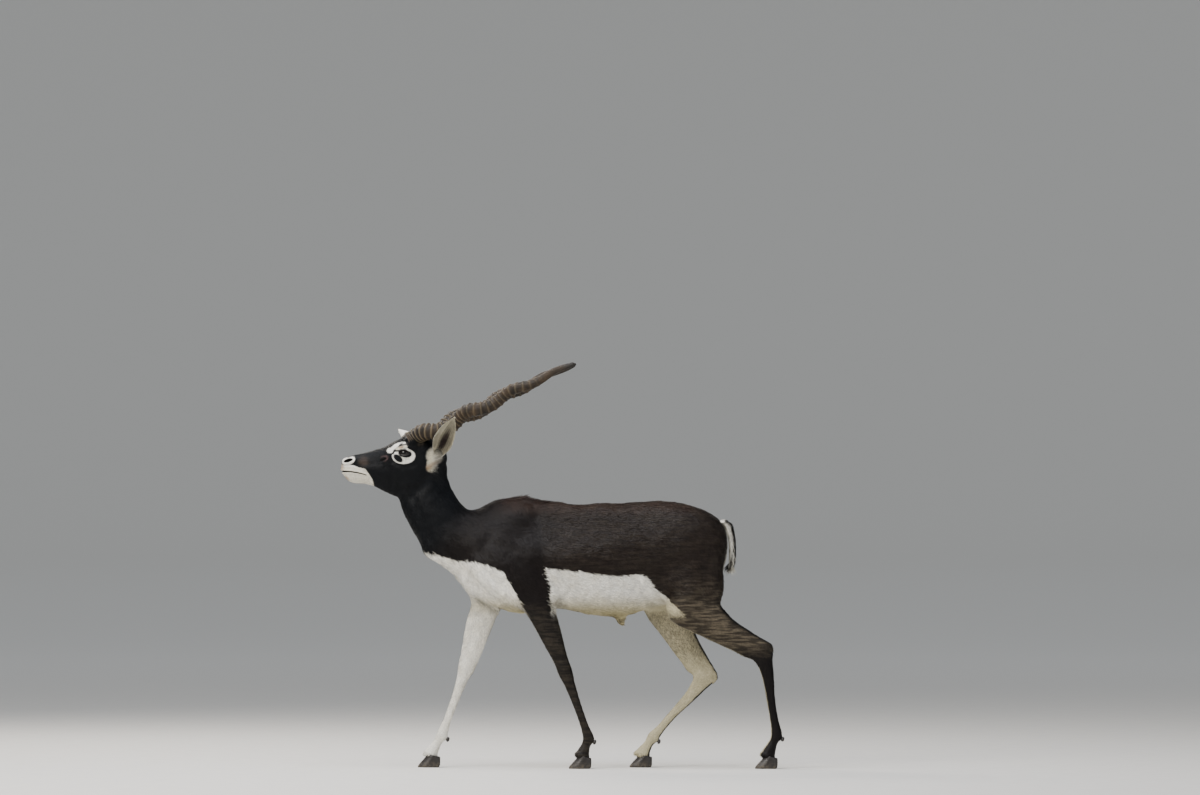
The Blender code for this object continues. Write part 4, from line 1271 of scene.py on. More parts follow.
def ear_surface(side, rows=44, columns=30):
    """A leaf-shaped cup with its share along, its place across and which face each vertex is on."""
    root, tip, opening = (side_point(p, side) for p in EARS[side])
    run = unit(tip - root)
    facing = unit(opening - run * (opening @ run))
    across = np.cross(run, facing)
    length = np.linalg.norm(tip - root)
    inner, outer, shares = [], [], []
    for i in range(rows + 1):
        u = i / rows
        fullness = 0.52 + 0.48 * math.sin(math.pi * min(1, u * 0.95 + 0.12))
        width = (EAR_HALF_WIDTH * fullness * (1 - u**8) + 0.9) * (0.72 + 0.28 * min(1, u / 0.3))
        wrap = math.radians(118 - 62 * min(1, u / 0.55))
        curl = width / math.sin(min(wrap, math.pi / 2))
        for j in range(columns + 1):
            v = -1 + 2 * j / columns
            angle = v * wrap
            radial = -facing * math.cos(angle) + across * math.sin(angle)
            lift = curl * (math.cos(wrap) * 0.5 + 0.5 * min(1, u / 0.4)) + 4 * u * u
            hub = root + run * length * u + facing * lift
            thick = EAR_THICKNESS * (1 - 0.45 * abs(v) ** 3) * (1 - 0.35 * u)
            ripple = 0.5 * math.sin(v * 9 + u * 2) * (1 - abs(v)) * (1 - u)
            inner.append(hub + radial * (curl + 0.6 + ripple))
            outer.append(hub + radial * (curl + thick - 0.6))
            shares.append((u, v))
    stride, count = columns + 1, len(inner)
    faces = []
    for i in range(rows):
        for j in range(columns):
            a = i * stride + j
            b = a + count
            faces.append((a, a + 1, a + stride + 1, a + stride))
            faces.append((b, b + stride, b + stride + 1, b + 1))
    rim = [(j, j + 1) for j in range(columns)]
    rim += [(i * stride + columns, (i + 1) * stride + columns) for i in range(rows)]
    rim += [(rows * stride + j + 1, rows * stride + j) for j in reversed(range(columns))]
    rim += [((i + 1) * stride, i * stride) for i in reversed(range(rows))]
    for a, b in rim:
        faces.append((a, b, b + count, a + count))
    obj = new_object("ear_skin_" + side, placed(inner + outer), faces)
    face_outwards(obj)
    shade_smooth(obj)
    shares = np.array(shares * 2)
    inside = np.arange(len(shares)) < count
    return obj, shares[:, 0], shares[:, 1], inside, run, across


def ear_markings(side, u, v, inside):
    """Inside: a pale front band, a dark hollow, greyer streaks and a pale rear rim. Behind: pale hair."""
    rearward = v * -SIDES[side]
    front_band = smooth(-0.3, -0.5, rearward)
    rim = smooth(0.78, 0.92, rearward)
    hollow = smooth(0.34, 0.06, np.abs(rearward + 0.06 - 0.2 * u))
    hollow = hollow * smooth(0.0, 0.08, u) * smooth(0.78, 0.3, u)
    streaks = 0.5 + 0.5 * np.sin(v * 34 + 2.5 * np.sin(5 * u))
    pale = 0.52 + 0.45 * np.maximum(front_band, rim) + 0.3 * smooth(0.8, 0.97, u)
    pale = pale - 0.5 * hollow - 0.26 * streaks * (1 - front_band) * (1 - rim)
    back = 0.3 + 0.68 * np.maximum(smooth(0.12, 0.4, u), smooth(0.75, 0.95, np.abs(v)))
    return marks_of(
        len(u),
        white=np.clip(np.where(inside, pale, back), 0, 1),
        warm=0.2,
        grizzle=np.where(inside, 0.55, 0.3),
        buff=np.where(inside, 0.6, 0.1),
        bare=np.where(inside, 0.85 * hollow, 0.0),
    )


# Hair in each ear and behind it: tufts, length, width, rise, spread and start of its half of the unwrap.
EAR_HAIR = {
    "lining": (4200, 11.0, 0.8, 0.26, -0.5, 0.0),
    "back": (5200, 5.5, 0.9, 0.16, 0.25, 0.5),
}


def make_ear(side, rng):
    obj, u, v, inside, run, across = ear_surface(side)
    mark(obj, ear_markings(side, u, v, inside), 0.3, 0.5)
    made = [obj]
    for name, (count, long, width, rise, spread, start) in EAR_HAIR.items():
        lining = name == "lining"
        grown = (inside == lining) * (u > 0.03).astype(float)
        at, out, picked, shares = scattered(obj, int(count * QUICK_SHARE), grown, rng)
        pu, pv = (np.sum(values[picked] * shares, 1) for values in (u, v))
        way = along_surface(run + across * (spread * pv * np.abs(pv))[:, None], out)
        length = long * (1 - 0.45 * pu)
        if lining:
            length *= 0.55 + 0.75 * np.abs(pv)
        marks = ear_markings(side, pu, pv, np.full(len(pu), lining))
        places = np.stack([pu * 0.95, (pv + 1) * 0.24 + start], 1)
        made.append(blades(f"ear_{name}_{side}", at, out, way, length, width, rise, marks, places, rng))
    return made


# Eyes


def make_eye(side):
    """The eyeball with a clear bulge, and its dark moist lid rim."""
    centre, along, up, out = eye_axes(side)
    ball = ellipsoid("eyeball_" + side, centre, (EYE_RADIUS,) * 3, segments=64)
    points = table_points(ball)
    offset = points - centre
    across, rise, depth = offset @ along, offset @ up, offset @ out
    bulge = smooth(13, 4, np.hypot(across, rise)) * (depth > 0)
    move_points(ball, points + unit(offset) * (0.8 * bulge)[:, None])
    shade_smooth(ball)
    set_vectors(ball, "gaze", np.stack([across, rise, depth], 1))
    angle = np.arange(72) * 2 * math.pi / 72
    a = np.cos(angle) * (OPENING_HALF_LENGTH + 0.3)
    reach = np.where(np.sin(angle) > 0, OPENING_ABOVE, OPENING_BELOW) + 0.3
    b = np.sign(np.sin(angle)) * np.abs(np.sin(angle)) ** (2 * OPENING_CURVE) * reach
    lid = closed_tube("lid_rim_" + side, over_eyeball(side, a, b, LID_RIM_DISTANCE), LID_RIM_RADIUS)
    shade_smooth(lid)
    return ball, lid


def over_eyeball(side, a, b, distance):
    """Points so far from the eye's middle, a along its opening and b up it."""
    centre, along, up, out = eye_axes(side)
    depth = np.sqrt(distance**2 - a * a - b * b)
    return centre + a[:, None] * along + b[:, None] * up + depth[:, None] * out


def make_lashes(side, rng):
    """Short dark lashes along the upper lid."""
    _, along, up, out = eye_axes(side)
    a = rng.uniform(-0.92, 0.92, LASHES) * OPENING_HALF_LENGTH
    b = OPENING_ABOVE * (1 - (a / OPENING_HALF_LENGTH) ** 2) ** OPENING_CURVE + rng.uniform(0, 1.2, LASHES)
    way = unit(out * 0.85 + up * 0.1 + along * (0.25 + a / 40)[:, None])
    roots = over_eyeball(side, a, b, LASH_DISTANCE)
    places = np.stack([(a + 18) / 40, np.full(LASHES, 0.5)], 1)
    marks = marks_of(LASHES)
    return blades("lashes_" + side, roots, along_surface(up, way), way, 6.5, 0.5, -0.35, marks, places, rng)


# Horns


def make_horn(side, sides=44, steps=900):
    """The ringed corkscrew, with its length and girth in millimetres kept for the material."""
    share = np.linspace(0, 1, steps)
    middle, up, length = horn_axis(side, share)
    rings = [0.012]
    while rings[-1] < RINGED_SHARE:
        spacing = RING_SPACING[0] + (RING_SPACING[1] - RING_SPACING[0]) * min(1, 1.5 * rings[-1])
        rings.append(rings[-1] + spacing / length)
    rings = np.array(rings)

    ahead = unit(horn_axis(side, share + 0.004)[0] - horn_axis(side, np.maximum(0, share - 0.004))[0])
    u_axis = along_surface(up, ahead)
    v_axis = np.cross(ahead, u_axis)
    angles = np.arange(sides) * 2 * math.pi / sides
    lean = 0.0035 * np.cos(angles[None] - share[:, None] * 2 * math.pi * HORN_TURNS)
    at = share[:, None] + lean
    place = np.interp(at, rings, np.arange(len(rings)))
    phase = place - np.floor(place)
    ridge = hump(phase, 0.55, 0.16)
    ringed = smooth(RINGED_SHARE, RINGED_SHARE - 0.2, at) * smooth(0.0, 0.015, at)
    radius = horn_radius(share)[:, None]
    wobble = 1 + 0.14 * np.sin(place * 7.3) * ringed
    radius = radius + RING_HEIGHT * ridge * ringed * wobble * (1 - 0.4 * share[:, None])
    radius = radius * (1 - 0.6 * smooth(0.982, 1.0, share) ** 2)[:, None]
    fluting = np.sin(angles * 11 + 3 * np.sin(share * 40)[:, None])
    radius = radius + 0.18 * fluting * smooth(0, 0.05, share)[:, None]
    turned = u_axis[:, None] * np.cos(angles)[:, None] + v_axis[:, None] * np.sin(angles)[:, None]
    obj = loft("horn_sheath_" + side, list(middle[:, None] + radius[..., None] * turned))
    shade_smooth(obj)
    lengthwise = np.broadcast_to(share[:, None] * length, at.shape)
    grain = np.stack([lengthwise, radius * np.sin(angles), radius * np.cos(angles)], 2).reshape(-1, 3)
    # The last two vertices are the middles of the two ends.
    set_vectors(obj, "grain", np.vstack([grain, grain[[0, -1]]]))
    set_values(obj, "groove", np.append(1 - ridge, (1, 1)))
    set_values(obj, "share", np.append(np.repeat(share, sides), (0, 1)))
    set_values(obj, "ringed", np.append(ringed, (0, 0)))
    return obj


# Hooves


def make_hoof(label, side, word):
    """One claw: flat sole, sloping ribbed wall with a worn edge, and a rounded heel."""
    which = -1 if word == "a" else 1
    x, y, _ = side_point((FORE_CHAINS if label == "front" else HIND_CHAINS)[side][-1], side)
    centre_y = y + which * CLAW_OFFSET
    toe, heel = x - CLAW_LENGTH + 22, x + 22
    rows = (
        (0.0, toe + 1.2, heel - 4, CLAW_HALF_WIDTH - 1.4),
        (0.9, toe + 0.2, heel - 3, CLAW_HALF_WIDTH - 0.5),
        (5, toe + 1, heel, CLAW_HALF_WIDTH + 0.5),
        (16, toe + 10, heel + 1, CLAW_HALF_WIDTH + 0.5),
        (30, toe + 22, heel, CLAW_HALF_WIDTH),
        (48, toe + 32, heel - 6, CLAW_HALF_WIDTH - 1),
    )
    rings = []
    for height, front, back, half in curve_through(rows, 7):
        ring = []
        rib = 0.22 * math.sin(height * 2.1) * min(1, height / 4)
        for k in range(40):
            angle = 2 * math.pi * k / 40
            along = math.cos(angle)
            taper = 1 - 0.45 * max(along, 0) ** 2
            px = (front + back) / 2 - along * ((back - front) / 2 + rib)
            py = math.sin(angle) * (half + rib) * taper - which * 1.5 * max(along, 0)
            ring.append(np.array((px, centre_y + py, max(height, 0)), float))
        rings.append(ring)
    obj = loft(f"hoof_wall_{label}_{side}_{word}", rings)
    sliced(obj, *coronet_cut(x, CORONET_HEIGHT + HOOF_OVERLAP), -1)
    shade_smooth(obj)
    return obj


def make_dewclaws(side):
    made = []
    for chain in (FORE_CHAINS[side], HIND_CHAINS[side]):
        x, y, z = chain[-2]
        for across in (-8, 8):
            place = side_point((x + 17.5, y + across, z - 12.5), side)
            made.append(ellipsoid("dewclaw", place, (4.6, 4.2, 6.6), 0.3, segments=28))
    obj = joined("dewclaws_" + side, made)
    shade_smooth(obj)
    return obj


# Tail


TAIL_TUFTS = 8000
TAIL_ROWS = (
    (434, 668, 12, 9),
    (452, 655, 13, 9),
    (462, 628, 13, 8),
    (465, 600, 14, 7),
    (465, 575, 12, 6),
    (463, 560, 7, 4),
)


def tail_marks(normals):
    beneath = smooth(0.15, -0.35, normals[:, 0])
    edge = smooth(0.75, 0.95, np.abs(normals[:, 1])) * 0.55
    return marks_of(len(normals), white=np.maximum(beneath, edge), warm=0.35, buff=0.2)


def make_tail(rng):
    """A flat core under long hair, dark behind and white beneath, drawn out into a soft end."""
    rows = curve_through(TAIL_ROWS, 6)
    rings = []
    for x, z, half_width, half_depth in rows:
        ring = []
        for k in range(24):
            angle = 2 * math.pi * k / 24
            lean = np.array((math.cos(0.25), 0, math.sin(0.25))) * half_depth * math.cos(angle)
            ring.append(np.array((x, half_width * math.sin(angle), z)) + lean)
        rings.append(ring)
    core = loft("tail_skin", rings)
    shade_smooth(core)
    normals = vertex_normals(core)
    mark(core, tail_marks(normals), 0.3, 0.5)
    at, out, _, _ = scattered(core, int(TAIL_TUFTS * QUICK_SHARE), np.ones(len(normals)), rng)
    steps = rows[1:, :2] - rows[:-1, :2]
    nearest = np.argmin(np.abs(at[:, 2][:, None] - rows[None, :-1, 1]), axis=1)
    way = unit(np.stack([steps[nearest, 0], at[:, 1] * 0.06, steps[nearest, 1]], 1))
    way = unit(way - out * np.sum(way * out, 1, keepdims=True) * 0.8)
    end = smooth(640, 565, at[:, 2])
    length, rise = 14 + 24 * end, 0.2 - 0.1 * end
    places = np.stack([(680 - at[:, 2]) / 130, turn_share(at[:, 1], at[:, 0] - 470)], 1)
    places = np.clip(places, 0, 1)
    hair = blades("tail_hair", at, out, way, length, 1.4, rise, tail_marks(out), places, rng)
    return core, hair


# Materials


def add_node(tree, kind, inputs=None, **settings):
    """Adds a node, gives it its settings, and sets or links its named or numbered inputs."""
    made = tree.nodes.new(kind)
    for name, value in settings.items():
        setattr(made, name, value)
    for name, value in (inputs or {}).items():
        if isinstance(value, bpy.types.Node):
            value = next(socket for socket in value.outputs if socket.enabled)
        if isinstance(value, bpy.types.NodeSocket):
            tree.links.new(value, made.inputs[name])
        else:
            made.inputs[name].default_value = value
    return made


def material(name, looks):
    """A material whose Principled shader takes the inputs that looks adds to its tree."""
    made = bpy.data.materials.new(name)
    made.use_nodes = True
    tree = made.node_tree
    tree.nodes.clear()
    shader = add_node(tree, "ShaderNodeBsdfPrincipled", looks(tree))
    add_node(tree, "ShaderNodeOutputMaterial", {"Surface": shader})
    return made


def antelope_coat(tree):
    """Short guard hair, smooth and dense: satin, with a soft glint along the lie of each lock.

    Blue-black on the neck and face, brown-black on the back with a browner top, partly painted sheen, white
    to cream beneath.
    """
    place = add_node(tree, "ShaderNodeTexCoord").outputs["Object"]
    share = {
        name: add_node(tree, "ShaderNodeAttribute", attribute_name=name).outputs["Fac"]
        for name in (*MARKS, "shade")
    }
    # Patches of the browner top, partly painted sheen, and of wear are about 25 mm wide, and neighbouring
    # tufts of hair differ every 4 mm.
    patches = add_node(tree, "ShaderNodeTexNoise", {"Vector": place, "Scale": 1 / 0.025, "Detail": 3.0})
    tufts = add_node(tree, "ShaderNodeTexNoise", {"Vector": place, "Scale": 1 / 0.004, "Detail": 2.0})
    # Pale creases lie level across the thigh, 6 mm apart and about 50 mm long.
    level = add_node(tree, "ShaderNodeVectorMath", {0: place, 1: (0.12, 0.4, 1.0)}, operation="MULTIPLY")
    creases = add_node(tree, "ShaderNodeTexNoise", {"Vector": level, "Scale": 1 / 0.006, "Detail": 2.0})

    browned = add_node(tree, "ShaderNodeMapRange", {0: share["warm"], 1: 0.0, 2: 0.35})
    # The browner top of the back: partly the hair's own reddish tinge, partly painted sheen from light above.
    top_brown_and_sheen = add_node(tree, "ShaderNodeMapRange", {0: share["warm"], 1: 0.35, 2: 0.95})
    worn = add_node(tree, "ShaderNodeMapRange", {0: patches, 1: 0.3, 2: 0.7, 3: 0.55, 4: 1.0})
    top_brown_and_sheen = add_node(tree, "ShaderNodeMath", {0: top_brown_and_sheen, 1: worn}, operation="MULTIPLY")
    creased = add_node(tree, "ShaderNodeMapRange", {0: creases, 1: 0.42, 2: 0.62, 3: 0.25, 4: 1.0})
    # Grey from the grizzle share: pale worn creases on the thigh, and partly painted shade inside the hind
    # legs.
    faded_and_shade = add_node(tree, "ShaderNodeMath", {0: share["grizzle"], 1: creased}, operation="MULTIPLY")
    dark = linear("#0B0D10")
    for cover, tint in ((browned, "#161211"), (top_brown_and_sheen, "#33251E"), (faded_and_shade, "#62594A")):
        dark = add_node(tree, "ShaderNodeMix", {0: cover, 6: dark, 7: linear(tint)}, data_type="RGBA")

    soiled = add_node(tree, "ShaderNodeMapRange", {0: patches, 1: 0.4, 2: 0.75, 3: 0.0, 4: 0.3})
    tanned = add_node(tree, "ShaderNodeMapRange", {0: share["warm"], 1: 0.5, 2: 1.0})
    pale = linear("#E9E7DF")
    # The buff is partly cream hair and partly painted shade, low on the belly and inside the hind legs.
    for cover, tint in ((share["buff"], "#A69B70"), (soiled, "#CFC6AC"), (tanned, "#95755A")):
        pale = add_node(tree, "ShaderNodeMix", {0: cover, 6: pale, 7: linear(tint)}, data_type="RGBA")

    hairless = {0: share["warm"], 6: linear("#0E0B0A"), 7: linear("#5E4B4C")}
    hairless = add_node(tree, "ShaderNodeMix", hairless, data_type="RGBA")
    colour = dark
    for cover, other in ((share["white"], pale), (share["bare"], hairless)):
        colour = add_node(tree, "ShaderNodeMix", {0: cover, 6: colour, 7: other}, data_type="RGBA")
    speck = add_node(tree, "ShaderNodeMapRange", {0: tufts, 1: 0.3, 2: 0.7, 3: 0.88, 4: 1.12})
    lit = add_node(tree, "ShaderNodeMath", {0: share["shade"], 1: speck}, operation="MULTIPLY")
    colour = add_node(tree, "ShaderNodeVectorMath", {0: colour, "Scale": lit}, operation="SCALE")

    rough = add_node(tree, "ShaderNodeMapRange", {0: share["white"], 1: 0.0, 2: 1.0, 3: 0.46, 4: 0.72})
    # Single hairs are too fine to show, so their grain is drawn 1.6 mm wide.
    grain = add_node(tree, "ShaderNodeTexNoise", {"Vector": place, "Scale": 1 / 0.0016, "Detail": 2.0})
    bump = add_node(tree, "ShaderNodeBump", {"Strength": 0.35, "Distance": 0.0005, "Height": grain})
    return {"Base Color": colour, "Roughness": rough, "Specular IOR Level": 0.12, "Normal": bump}


def moist_lid(tree):
    """Hairless skin of the lid rims: near black, with a soft wet gloss."""
    place = add_node(tree, "ShaderNodeTexCoord").outputs["Object"]
    pores = add_node(tree, "ShaderNodeTexNoise", {"Vector": place, "Scale": 1 / 0.002, "Detail": 2.0})
    mottle = add_node(tree, "ShaderNodeMapRange", {0: pores, 1: 0.35, 2: 0.65})
    colour = {0: mottle, 6: linear("#090706"), 7: linear("#17110E")}
    colour = add_node(tree, "ShaderNodeMix", colour, data_type="RGBA")
    rough = add_node(tree, "ShaderNodeMapRange", {0: pores, 1: 0.3, 2: 0.7, 3: 0.24, 4: 0.4})
    bump = add_node(tree, "ShaderNodeBump", {"Strength": 0.3, "Distance": 0.0003, "Height": pores})
    return {"Base Color": colour, "Roughness": rough, "Normal": bump}


def wet_eyeball(tree):
    """A grazing animal's eye: brown-black iris, a long level pupil, and a clear cornea with a sharp glint."""
    gaze = add_node(tree, "ShaderNodeAttribute", attribute_name="gaze").outputs["Vector"]
    place = add_node(tree, "ShaderNodeTexCoord").outputs["Object"]
    # The iris has threads about 0.9 mm apart.
    threads = add_node(tree, "ShaderNodeTexNoise", {"Vector": place, "Scale": 1 / 0.0009, "Detail": 3.0})
    streaked = add_node(tree, "ShaderNodeMapRange", {0: threads, 1: 0.35, 2: 0.65})
    colour = {0: streaked, 6: linear("#100A06"), 7: linear("#22150B")}
    colour = add_node(tree, "ShaderNodeMix", colour, data_type="RGBA")
    # Half-lengths of the pupil, then of the iris, along the opening and up it, in millimetres.
    for half_size, inner, outer, tint in (
        ((8.5, 4.2, 99), 1.0, 0.0, "#030304"),
        ((13.2, 13.2, 99), 0.0, 1.0, "#1A120E"),
    ):
        scaled = {0: gaze, 1: tuple(1 / size for size in half_size)}
        scaled = add_node(tree, "ShaderNodeVectorMath", scaled, operation="MULTIPLY")
        reach = add_node(tree, "ShaderNodeVectorMath", {0: scaled}, operation="LENGTH")
        edge = {0: reach.outputs["Value"], 1: 0.92, 2: 1.06, 3: inner, 4: outer}
        edge = add_node(tree, "ShaderNodeMapRange", edge)
        colour = add_node(tree, "ShaderNodeMix", {0: edge, 6: colour, 7: linear(tint)}, data_type="RGBA")
    rough = add_node(tree, "ShaderNodeMapRange", {0: threads, 1: 0.3, 2: 0.7, 3: 0.1, 4: 0.16})
    clear_film = {"IOR": 1.38, "Coat Weight": 0.25, "Coat Roughness": 0.04}
    return {"Base Color": colour, "Roughness": rough, **clear_film}


def ringed_horn(tree):
    """Horn sheath grown in rings: brown keratin, painted shade near black in the grooves, ridges pale from
    wear and painted highlight.
    """
    grown = add_node(tree, "ShaderNodeAttribute", attribute_name="grain").outputs["Vector"]
    groove, ringed, along = (
        add_node(tree, "ShaderNodeAttribute", attribute_name=name).outputs["Fac"]
        for name in ("groove", "ringed", "share")
    )
    # The grain runs up the horn in threads 1.6 mm wide and about 10 mm long. Its values are millimetres.
    drawn = add_node(tree, "ShaderNodeVectorMath", {0: grown, 1: (0.16, 1.0, 1.0)}, operation="MULTIPLY")
    threads = add_node(tree, "ShaderNodeTexNoise", {"Vector": drawn, "Scale": 1 / 1.6, "Detail": 3.0})
    patches = add_node(tree, "ShaderNodeTexNoise", {"Vector": grown, "Scale": 1 / 26, "Detail": 3.0})

    mottle = add_node(tree, "ShaderNodeMapRange", {0: patches, 1: 0.35, 2: 0.65})
    near_base = add_node(tree, "ShaderNodeMapRange", {0: along, 1: 0.08, 2: 0.4, 3: 1.0, 4: 0.45})
    banded = add_node(tree, "ShaderNodeMath", {0: ringed, 1: near_base}, operation="MULTIPLY")
    # Pale ridges near the base: partly worn keratin, partly painted highlight.
    rubbed_and_highlight = add_node(tree, "ShaderNodeMapRange", {0: groove, 1: 0.6, 2: 0.05, 3: 0.0, 4: 0.8})
    patchy = add_node(tree, "ShaderNodeMapRange", {0: threads, 1: 0.3, 2: 0.65, 3: 0.35, 4: 1.0})
    for limit in (banded, patchy):
        rubbed_and_highlight = add_node(tree, "ShaderNodeMath", {0: rubbed_and_highlight, 1: limit}, operation="MULTIPLY")
    # Near black in the grooves: painted shade.
    groove_shade = add_node(tree, "ShaderNodeMapRange", {0: groove, 1: 0.55, 2: 1.0, 3: 0.0, 4: 0.8})
    groove_shade = add_node(tree, "ShaderNodeMath", {0: groove_shade, 1: banded}, operation="MULTIPLY")
    tip = add_node(tree, "ShaderNodeMapRange", {0: along, 1: 0.8, 2: 0.97, 3: 0.0, 4: 0.85})
    split = add_node(tree, "ShaderNodeMapRange", {0: threads, 1: 0.45, 2: 0.7, 3: 0.0, 4: 0.4})
    body = linear("#231E18")
    for cover, tint in (
        (mottle, "#46392B"),
        (rubbed_and_highlight, "#70664F"),
        (groove_shade, "#12100D"),
        (tip, "#262523"),
        (split, "#221C17"),
    ):
        body = add_node(tree, "ShaderNodeMix", {0: cover, 6: body, 7: linear(tint)}, data_type="RGBA")

    rough = add_node(tree, "ShaderNodeMapRange", {0: threads, 1: 0.3, 2: 0.7, 3: 0.5, 4: 0.75})
    relief = add_node(tree, "ShaderNodeMath", {0: patches, 1: 0.6, 2: threads}, operation="MULTIPLY_ADD")
    bump = add_node(tree, "ShaderNodeBump", {"Strength": 0.8, "Distance": 0.0008, "Height": relief})
    return {"Base Color": body, "Roughness": rough, "Specular IOR Level": 0.22, "Normal": bump}


def hoof_keratin(tree):
    """Hoof horn: black and satin, with level growth lines, and dry dust low on the wall."""
    place = add_node(tree, "ShaderNodeTexCoord").outputs["Object"]
    height = add_node(tree, "ShaderNodeSeparateXYZ", {0: place}).outputs[2]
    # Growth lines are 1.3 mm apart and lie level round the wall.
    level = add_node(tree, "ShaderNodeVectorMath", {0: place, 1: (0.12, 0.12, 1.0)}, operation="MULTIPLY")
    lines = add_node(tree, "ShaderNodeTexNoise", {"Vector": level, "Scale": 1 / 0.0013, "Detail": 2.0})
    clumps = add_node(tree, "ShaderNodeTexNoise", {"Vector": place, "Scale": 1 / 0.006, "Detail": 3.0})
    low = add_node(tree, "ShaderNodeMapRange", {0: height, 1: 0.001, 2: 0.018, 3: 0.7, 4: 0.0})
    clumped = add_node(tree, "ShaderNodeMapRange", {0: clumps, 1: 0.4, 2: 0.65})
    dust = add_node(tree, "ShaderNodeMath", {0: low, 1: clumped}, operation="MULTIPLY")
    banded = add_node(tree, "ShaderNodeMapRange", {0: lines, 1: 0.35, 2: 0.65})
    wall = linear("#12100F")
    for cover, tint in ((banded, "#29231F"), (dust, "#6A604F")):
        wall = add_node(tree, "ShaderNodeMix", {0: cover, 6: wall, 7: linear(tint)}, data_type="RGBA")
    rough = add_node(tree, "ShaderNodeMapRange", {0: dust, 1: 0.0, 2: 0.7, 3: 0.36, 4: 0.8})
    bump = add_node(tree, "ShaderNodeBump", {"Strength": 0.4, "Distance": 0.0004, "Height": lines})
    return {"Base Color": wall, "Roughness": rough, "Normal": bump}


def studio_paper(tree):
    """Seamless studio paper: matt, pale, a little warm, mottled 60 mm wide and paler far off."""
    place = add_node(tree, "ShaderNodeTexCoord").outputs["Object"]
    mottle = add_node(tree, "ShaderNodeTexNoise", {"Vector": place, "Scale": 1 / 0.06, "Detail": 2.0})
    mottle = add_node(tree, "ShaderNodeMapRange", {0: mottle, 1: 0.3, 2: 0.7})
    reach = add_node(tree, "ShaderNodeVectorMath", {0: place}, operation="LENGTH").outputs["Value"]
    reach = add_node(tree, "ShaderNodeMapRange", {0: reach, 1: 3.0, 2: 12.0}, interpolation_type="SMOOTHSTEP")
    colour = linear("#CCCAC5")
    for cover, tint in ((mottle, "#D1CFCA"), (reach, "#F2F1EE")):
        colour = add_node(tree, "ShaderNodeMix", {0: cover, 6: colour, 7: linear(tint)}, data_type="RGBA")
    return {"Base Color": colour, "Roughness": 0.9}


# Stage


# The round studio, in metres: its level floor reaches past the camera, then curves up into a wall.
STAGE_FLOOR = 34.0
STAGE_CURVE = 6.0
STAGE_WALL = 12.0
STAGE_SIDES = 96


def make_stage(paper):
    """A round floor that curves up into a wall behind the camera's circle, the same from every side."""
    profile = [(2.0, 0.0), (STAGE_FLOOR, 0.0)]
    for turn in np.linspace(0.1, math.pi / 2, 14):
        profile.append((STAGE_FLOOR + STAGE_CURVE * math.sin(turn), STAGE_CURVE * (1 - math.cos(turn))))
    profile.append((STAGE_FLOOR + STAGE_CURVE, STAGE_WALL))
    around = 2 * math.pi * np.arange(STAGE_SIDES) / STAGE_SIDES
    vertices = [(r * math.cos(a), r * math.sin(a), z) for r, z in profile for a in around]
    faces = [tuple(range(STAGE_SIDES))]
    for ring in range(len(profile) - 1):
        for i in range(STAGE_SIDES):
            a = ring * STAGE_SIDES + i
            b = ring * STAGE_SIDES + (i + 1) % STAGE_SIDES
            faces.append((a, a + STAGE_SIDES, b + STAGE_SIDES, b))
    floor = new_object("studio_floor", vertices, faces)
    floor.data.materials.append(paper)
    shade_smooth(floor)


def add_light(name, where, at, width, height, power, colour):
    data = bpy.data.lights.new(name, "AREA")
    data.shape = "RECTANGLE"
    data.size = width
    data.size_y = height
    data.energy = power
    data.color = linear(colour)[:3]
    facing = (Vector(where) - Vector(at)).to_track_quat("Z", "Y").to_matrix().to_4x4()
    in_scene(name, data).matrix_world = Matrix.Translation(where) @ facing


def make_lights():
    add_light("overcast_sky", (-0.9, -1.0, 4.2), (0, 0, 0.5), 4.0, 3.0, 290, "#F8F9FF")
    add_light("key_window", (-2.6, -3.4, 3.0), (0, 0, 0.6), 2.0, 2.0, 165, "#FFF9F0")
    add_light("fill_window", (3.4, -3.2, 1.4), (0.1, 0, 0.5), 2.6, 2.0, 28, "#F3F6FF")
    add_light("rim_window", (-2.0, 2.4, 2.8), (0, 0, 0.7), 1.4, 1.4, 100, "#FFF6EA")
    world = bpy.data.worlds.new("pale room")
    world.use_nodes = True
    world.node_tree.nodes["Background"].inputs[0].default_value = linear("#E6EAEE")
    world.node_tree.nodes["Background"].inputs[1].default_value = 0.45
    bpy.context.scene.world = world


# The photograph's view: level, square to the side, from far off.
CAMERA_PLACE = (0.10379, -27.0, 1.00035)
CAMERA_LENS = 300


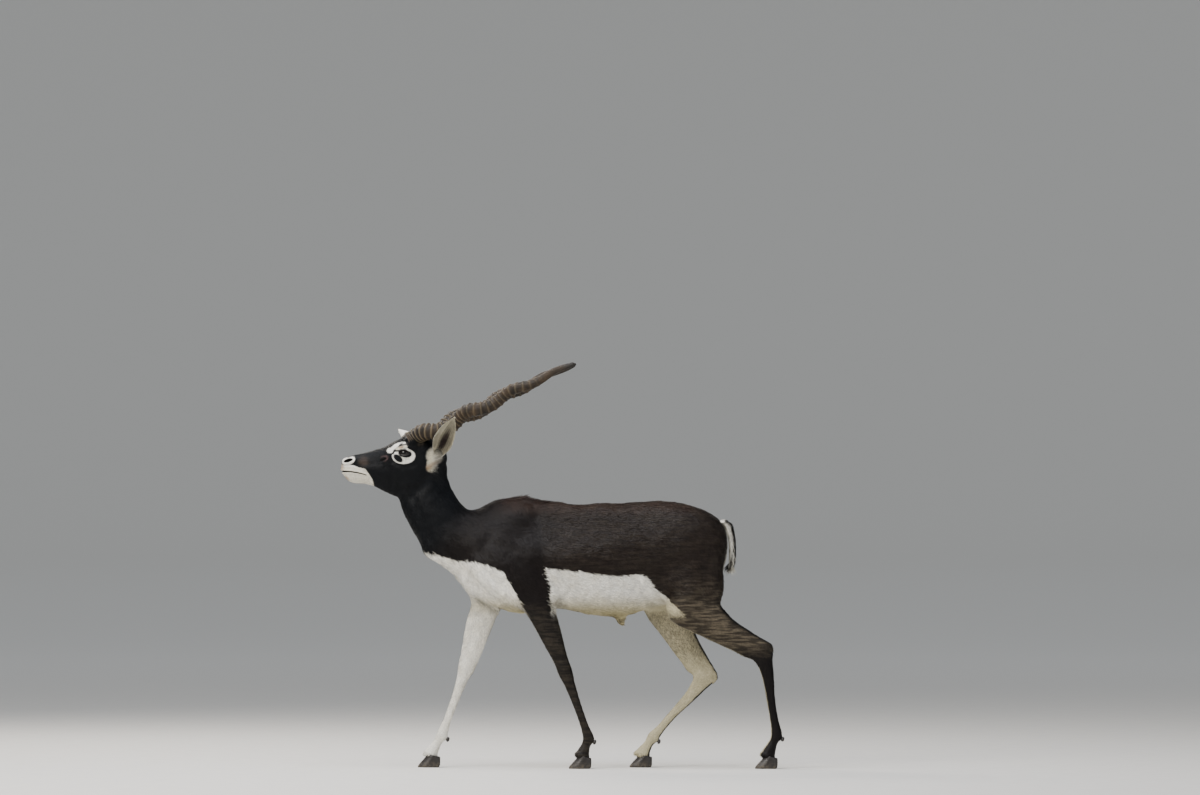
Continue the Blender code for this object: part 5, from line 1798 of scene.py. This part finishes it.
def make_camera():
    data = bpy.data.cameras.new("photo_view")
    data.sensor_width = 36
    data.lens = CAMERA_LENS
    data.clip_end = 100
    camera = in_scene("photo_view", data)
    camera.location = CAMERA_PLACE
    camera.rotation_euler = (math.pi / 2, 0, 0)
    bpy.context.scene.camera = camera


# Assembly


def finished(obj, look, slot, *nodes):
    """Gives obj its material, sets it on the body, and lets it stand for CAD nodes."""
    obj.data.materials.clear()
    obj.data.materials.append(look)
    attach(obj, "root")
    if nodes:
        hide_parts(*nodes)


def build():
    rng = np.random.default_rng(17)
    coat = material("antelope guard hair", antelope_coat)
    lid = material("moist lid skin", moist_lid)
    eye = material("wet brown eye", wet_eyeball)
    horn = material("ringed horn keratin", ringed_horn)
    hoof = material("black hoof keratin", hoof_keratin)

    skin = make_skin()
    points, normals = table_points(skin), vertex_normals(skin)
    marks = markings(points, normals, legs_near(points))
    for side in SIDES:
        measure, radius, _ = opening_measure(points, side)
        marks["bare"] = np.maximum(marks["bare"], smooth(1.32, 1.16, measure) * (radius < LID_REACH))
    marks["white"] = marks["white"] * (1 - marks["bare"])
    mark(skin, marks, 0.25, 0.45)
    legs = [f"leg_{end}_{side}" for end in ("front", "hind") for side in SIDES]
    finished(skin, coat, "dark_coat", "torso", "neck", "head", *legs)
    for piece in coat_over(skin, rng):
        finished(piece, coat, "dark_coat")

    for side in SIDES:
        ear, *ear_hair = make_ear(side, rng)
        finished(ear, coat, "dark_coat", "ear_" + side)
        for piece in ear_hair:
            finished(piece, coat, "dark_coat")
        ball, rim = make_eye(side)
        finished(ball, eye, "wet_eye", "eye_" + side)
        finished(rim, lid, "dark_coat")
        finished(make_lashes(side, rng), coat, "dark_coat")
        finished(make_horn(side), horn, "horn_sheath", "horn_" + side)
        for label in ("front", "hind"):
            for word in ("a", "b"):
                finished(make_hoof(label, side, word), hoof, "hoof_horn", f"hoof_{label}_{side}_{word}")
        finished(make_dewclaws(side), hoof, "hoof_horn")

    core, hair = make_tail(rng)
    finished(core, coat, "dark_coat", "tail")
    finished(hair, coat, "dark_coat")


build()
make_stage(material("pale backdrop paper", studio_paper))
make_lights()
make_camera()
